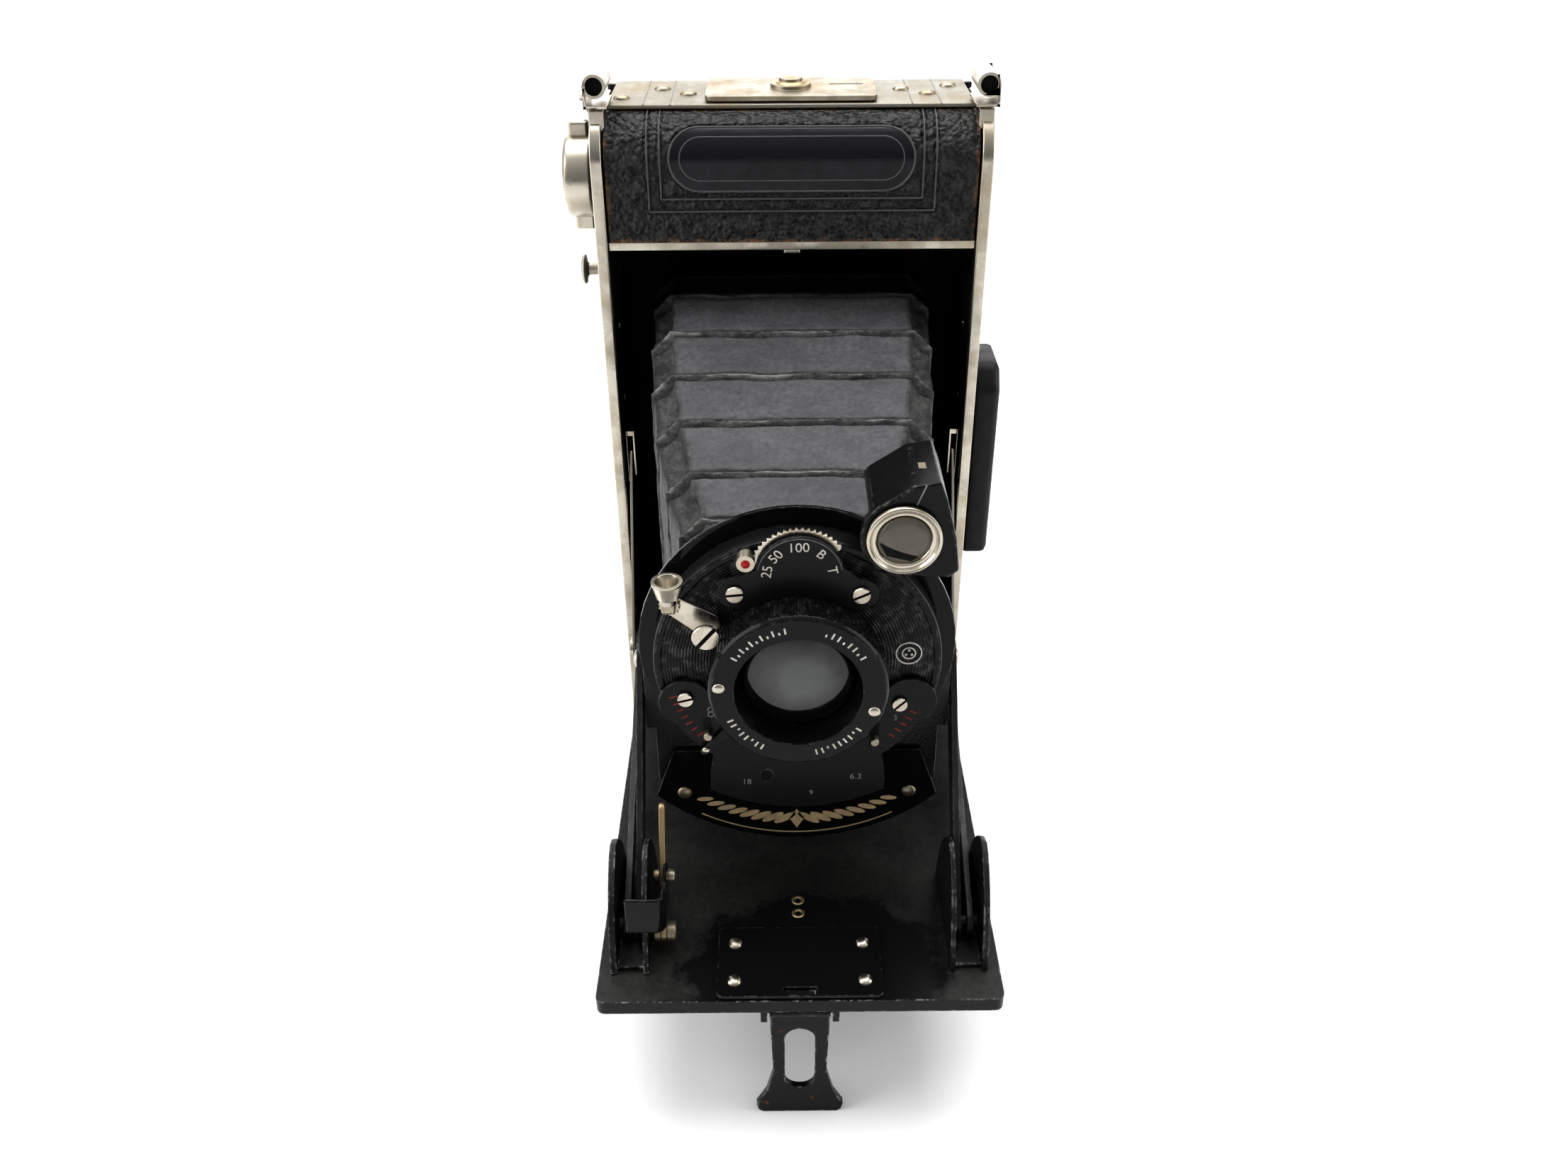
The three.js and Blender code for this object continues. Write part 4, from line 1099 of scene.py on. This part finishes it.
def shutter_markings():
    """Numbers, dashes, a round badge, slots with pins and a rimmed hole on the shutter's plates; the slots
    and the hole are flat black pieces of painted shade.
    """
    cx, cz, radius = 0.3, 105.3, 5.6
    for text, angle in (("25", 170), ("50", 136), ("100", 92), ("B", 50), ("T", 12)):
        a = math.radians(angle)
        x, z = cx + radius * math.cos(a), cz + radius * math.sin(a)
        label(f"speed_{text}", text, x, z, SPEED_FRONT, 2.5, angle - 90)
    for text, x, z, size in (("6.3", 11.0, 59.9, 1.9), ("9", 2.6, 56.0, 1.6), ("18", -9.6, 58.8, 1.8),
                             ("3", 17.9, 73.8, 1.7)):
        label(f"scale_{text.replace('.', '_')}", text, x, z, PLATE_FRONT, size, look="ink_grey")
    bm = bmesh.new()
    for start, stop in ((196, 232), (318, 338)):
        for angle in range(start, stop, 4):
            dash(bm, angle, 22.8, 24.2, 0.16, PLATE_FRONT - 0.05, PLATE_FRONT + 0.1)
    finish_piece(bm, "scale_red_dashes", "ink_red", "standard", smooth=False)
    bm = bmesh.new()
    badge_x, badge_z, dot_reach = 19.9, 87.6, 0.62
    for outer, inner in ((2.4, 2.15), (1.3, 1.05)):
        loop = above(CASE_FRONT, (inner, 0.1), (inner, -0.06), (outer, -0.06), (outer, 0.1))
        add_lathe(bm, loop, (badge_x, 0, badge_z), "Y", 40)
    dot = above(CASE_FRONT, (0, 0.1), (0.24, 0.1), (0.24, -0.06), (0, -0.06))
    for x, z in arc(badge_x, badge_z, dot_reach, 90, 330, 2):
        add_lathe(bm, dot, (x, 0, z), "Y", 12)
    finish_piece(bm, "round_badge", "ink", "standard", smooth=False)
    bm = bmesh.new()
    loop = above(PLATE_FRONT, (0.42, 0.1), (0.42, -0.05), (0.62, -0.05), (0.62, 0.1))
    for z in (75.0, 76.1):
        add_lathe(bm, loop, (-15.9, 0, z), "Y", 28)
    finish_piece(bm, "infinity_mark", "ink_grey", "standard", smooth=False)
    pins, slots = bmesh.new(), bmesh.new()
    cut = ((-3.0, -0.75), (2.4, -0.75), (2.4, 0.75), (-3.0, 0.75))
    pin = above(PLATE_FRONT, (0, 0), (0.85, 0), (0.85, -1.5), (0.7, -1.8), (0, -1.8))
    for x, z, lean in ((-16.5, 71.8, 8), (14.2, 70.2, -4)):
        add_plate(slots, turned(cut, x, z, 90 + lean), PLATE_FRONT - 0.03, PLATE_FRONT + 0.05)
        add_lathe(pins, pin, (x, 0, z - 0.9), "Y", 20)
    # painted shade: the slots are flat matt black plates on the scale plate
    finish_piece(slots, "scale_slots_painted_shade", "matt_black_and_painted_shade", "standard", smooth=False)
    finish_piece(pins, "scale_pins", "nickel_dull", "standard", edge=0.05)
    hole = (-5.8, 0, 60.6)
    bm = lathe(above(PLATE_FRONT, (1.15, 0.05), (1.15, -0.2), (1.5, -0.2), (1.6, 0.05)), hole, "Y", 32)
    finish_piece(bm, "scale_hole_rim", "gloss", "standard", edge=0.03)
    # painted shade: the hole is a flat matt black disc
    bm = lathe(above(PLATE_FRONT, (0, 0.02), (1.2, 0.02), (1.2, -0.03), (0, -0.03)), hole, "Y", 24)
    finish_piece(bm, "scale_hole_painted_shade", "matt_black_and_painted_shade", "standard", smooth=False)
    # a fine outline inside the round top of the speed plate
    lobe = [(x, SPEED_FRONT - 0.01, z) for x, z in arc(cx, cz, 7.3, 10, 170, 32)]
    bm = sweep(bmesh.new(), lobe, 0.07, 6)
    finish_piece(bm, "speed_plate_line", "ink_grey", "standard")
    ring_front = node_box("focusing_ring")[0].y
    rivets("focus_ring_screws", [(x, ring_front + 0.1, z) for x, z in ((-13.9, 86.6), (13.3, 81.3))],
           1.15, 0.5, "Y", -1, "focusing")
    red_y = node_box("speed_dial")[0].y
    tip = above(red_y, (0, 0.02), (0.8, 0.02), (0.75, -0.12), (0, -0.18))
    bm = lathe(tip, (-8.9, 0, 108.2), "Y", 24)
    finish_piece(bm, "index_tip", "red", "speed_dial")


shutter_markings()


def release_lever():
    """Nickel lever with a toothed swivel and a threaded, flared socket for a cable."""
    low, high = node_box("release_lever")
    back = high.y - 0.02
    start, end = Vector((-16.0, 94.3)), Vector((-22.3, 98.6))
    face = back - 0.95
    bm = add_plate(bmesh.new(), bar_outline(start, end, 2.55, 1.85, 14, 12), face, back)
    finish_piece(bm, "release_arm", "nickel", "release_lever", edge=0.2,
                 replaced=("release_lever",))
    points = 28     # tips and roots of 14 teeth
    toothed = []
    for k in range(points):
        r = 1.95 if k % 2 else 1.55
        a = 2 * math.pi * k / points
        toothed.append((end.x + r * math.cos(a), end.y + r * math.sin(a)))
    bm = add_plate(bmesh.new(), toothed, face - 0.75, face)
    finish_piece(bm, "release_swivel", "nickel_dull", "release_lever", edge=0.1)
    y = (low.y + back - 1.0) / 2 - 0.2
    socket = above(end.y, (0, 2.0), (1.45, 2.0), (1.45, 3.1))
    z, r = end.y + 3.1, 1.75
    pitch, flare = 0.46, 0.13
    while z < end.y + 5.7:
        socket += above(z, (r, 0), (r + 0.22, 0.22), (r + 0.05, 0.42))
        z += pitch
        r += flare
    top = high.z - 0.03
    socket += above(top, (2.7, -0.35), (2.72, 0), (2.1, 0), (1.3, -2.2), (0, -2.2))
    bm = lathe(socket, (end.x, y, 0), "Z", 48)
    finish_piece(bm, "release_socket", "nickel", "release_lever", edge=0.05)
    neck = (end.x - 1.2, end.x + 1.2, y - 0.7, back - 0.9, end.y, end.y + 2.3)
    blocks("release_neck", "nickel_dull", "release_lever", [neck], edge=0.4)


release_lever()


def small_fittings():
    """Nickel tip of the aperture pointer, and the spring that leans on the winding key."""
    tip_y = node_box("aperture_ring")[0].y
    bm = lathe(above(tip_y, (0, 0.3), (0.75, 0.3), (0.75, -0.1), (0.5, -0.3), (0, -0.3)),
               (-17.0, 0, 67.3), "Y", 20)
    finish_piece(bm, "aperture_tip", "nickel", "aperture")
    outer = arc(0.5, 157.0, 8.0, 20, 110, 14)
    inner = arc(0.5, 157.0, 7.2, 110, 20, 14)
    bm = add_plate(bmesh.new(), outer + inner, -43.2, -40.6, "YZ")
    finish_piece(bm, "key_spring", "nickel", "root", edge=0.2)


small_fittings()


def gold_ornament():
    """Plain gold scrollwork on the crescent plate, in place of any name."""
    front = node_box("name_plate")[0].y
    cz, radius = 77.0, 34.4
    around = [2 * math.pi * t / 12 for t in range(12)]
    shapes = []
    for side in (-1, 1):
        for k in range(1, 9):
            angle, grow = 270 + side * k * 4.0, 1.55 - 0.07 * k
            a = math.radians(angle)
            leaf = [(1.7 * grow * math.cos(w), 0.55 * grow * math.sin(w)) for w in around]
            shapes.append(turned(leaf, radius * math.cos(a), cz + radius * math.sin(a), angle + side * 55))
    shapes.append([(0, cz - radius + 2.4), (1.5, cz - radius), (0, cz - radius - 2.6), (-1.5, cz - radius)])
    shapes.append(arc(0, cz, radius + 3.5, 240, 300, 40) + arc(0, cz, radius + 3.8, 300, 240, 40))
    bm = bmesh.new()
    for shape in shapes:
        add_plate(bm, shape, front - 0.06, front + 0.05)
    finish_piece(bm, "gold_scrollwork", "gold", "standard", smooth=False)


gold_ornament()


# ------------ floor, light and camera
def floor():
    """Pale sweep under and behind the camera."""
    bm = bmesh.new()
    depth, rise, bend, level = 900.0, 1400.0, 500.0, -0.05
    path = [(-1500.0, level), (depth - bend, level)]
    path += [(depth - bend + bend * math.sin(a), bend - bend * math.cos(a) + level)
             for a in [math.pi / 2 * i / 16 for i in range(1, 17)]]
    path.append((depth, rise))
    rows = [[bm.verts.new((x, y, z)) for x in (-2500.0, 2500.0)] for y, z in path]
    skin(bm, rows)
    f = Finish("floor_paper", (0.86, 0.86, 0.86), 0.75)
    f.color(f.mix(f.ramp(f.noise(3.0, 3), 0.3, 0.7), (0.86, 0.86, 0.86), (0.84, 0.84, 0.84)))
    to_object(bm, "floor", f.mat)


floor()


def area_light(name, at, target, size, power, size_y):
    """A rectangular light; places and sizes in millimetres, power in watts."""
    data = bpy.data.lights.new(name, "AREA")
    data.shape = "RECTANGLE"
    data.size = size * MM
    data.size_y = size_y * MM
    data.energy = power
    obj = add_object(name, data)
    obj.location = Vector(at) * MM
    obj.rotation_euler = (Vector(target) - Vector(at)).to_track_quat("-Z", "Y").to_euler()


area_light("overhead", (0, 150, 900), (0, -40, 60), 900, 7.5, 700)
area_light("left_window", (-800, -250, 480), (0, -50, 80), 600, 5.0, 800)
area_light("right_fill", (850, -150, 380), (0, -50, 80), 500, 2.6, 700)
area_light("back_rim", (0, 750, 450), (0, 0, 120), 900, 1.6, 500)


def studio_world():
    """Soft surround, brighter above and behind the camera body than in front of it."""
    world = bpy.data.worlds.new("studio")
    bpy.context.scene.world = world
    world.use_nodes = True
    nodes, links = world.node_tree.nodes, world.node_tree.links
    facing = nodes.new("ShaderNodeVectorMath")
    facing.operation = "DOT_PRODUCT"
    facing.inputs[1].default_value = (0.0, 0.55, 0.8)
    shade = nodes.new("ShaderNodeMapRange")
    for socket, value in (("From Min", -0.55), ("From Max", 0.6), ("To Min", 0.35), ("To Max", 1.25)):
        shade.inputs[socket].default_value = value
    links.new(nodes.new("ShaderNodeTexCoord").outputs["Generated"], facing.inputs[0])
    links.new(facing.outputs["Value"], shade.inputs["Value"])
    links.new(shade.outputs["Result"], nodes["Background"].inputs["Color"])
    nodes["Background"].inputs["Strength"].default_value = 0.7


studio_world()


def photo_camera():
    """The camera where the photographer stood, fitted to the body's known corners."""
    pitch, yaw, roll = 0.565049, 0.0057655, -0.0048671
    back = -Vector((math.sin(yaw) * math.cos(pitch), math.cos(yaw) * math.cos(pitch), -math.sin(pitch)))
    level = Vector((math.cos(yaw), -math.sin(yaw), 0))
    upright = level.cross(-back)
    right = level * math.cos(roll) + upright * math.sin(roll)
    up = upright * math.cos(roll) - level * math.sin(roll)
    data = bpy.data.cameras.new("camera")
    data.lens = 30.30
    data.sensor_width = 36
    data.clip_start = 0.01
    obj = add_object("camera", data)
    turn = Matrix((right, up, back)).transposed().to_4x4()
    obj.matrix_world = Matrix.Translation(Vector((-3.50, -282.82, 223.87)) * MM) @ turn
    bpy.context.scene.camera = obj


photo_camera()
view = bpy.context.scene.view_settings
view.view_transform = "Standard"
view.look = "Medium High Contrast"
view.gamma = 0.88
view.exposure = 0.0
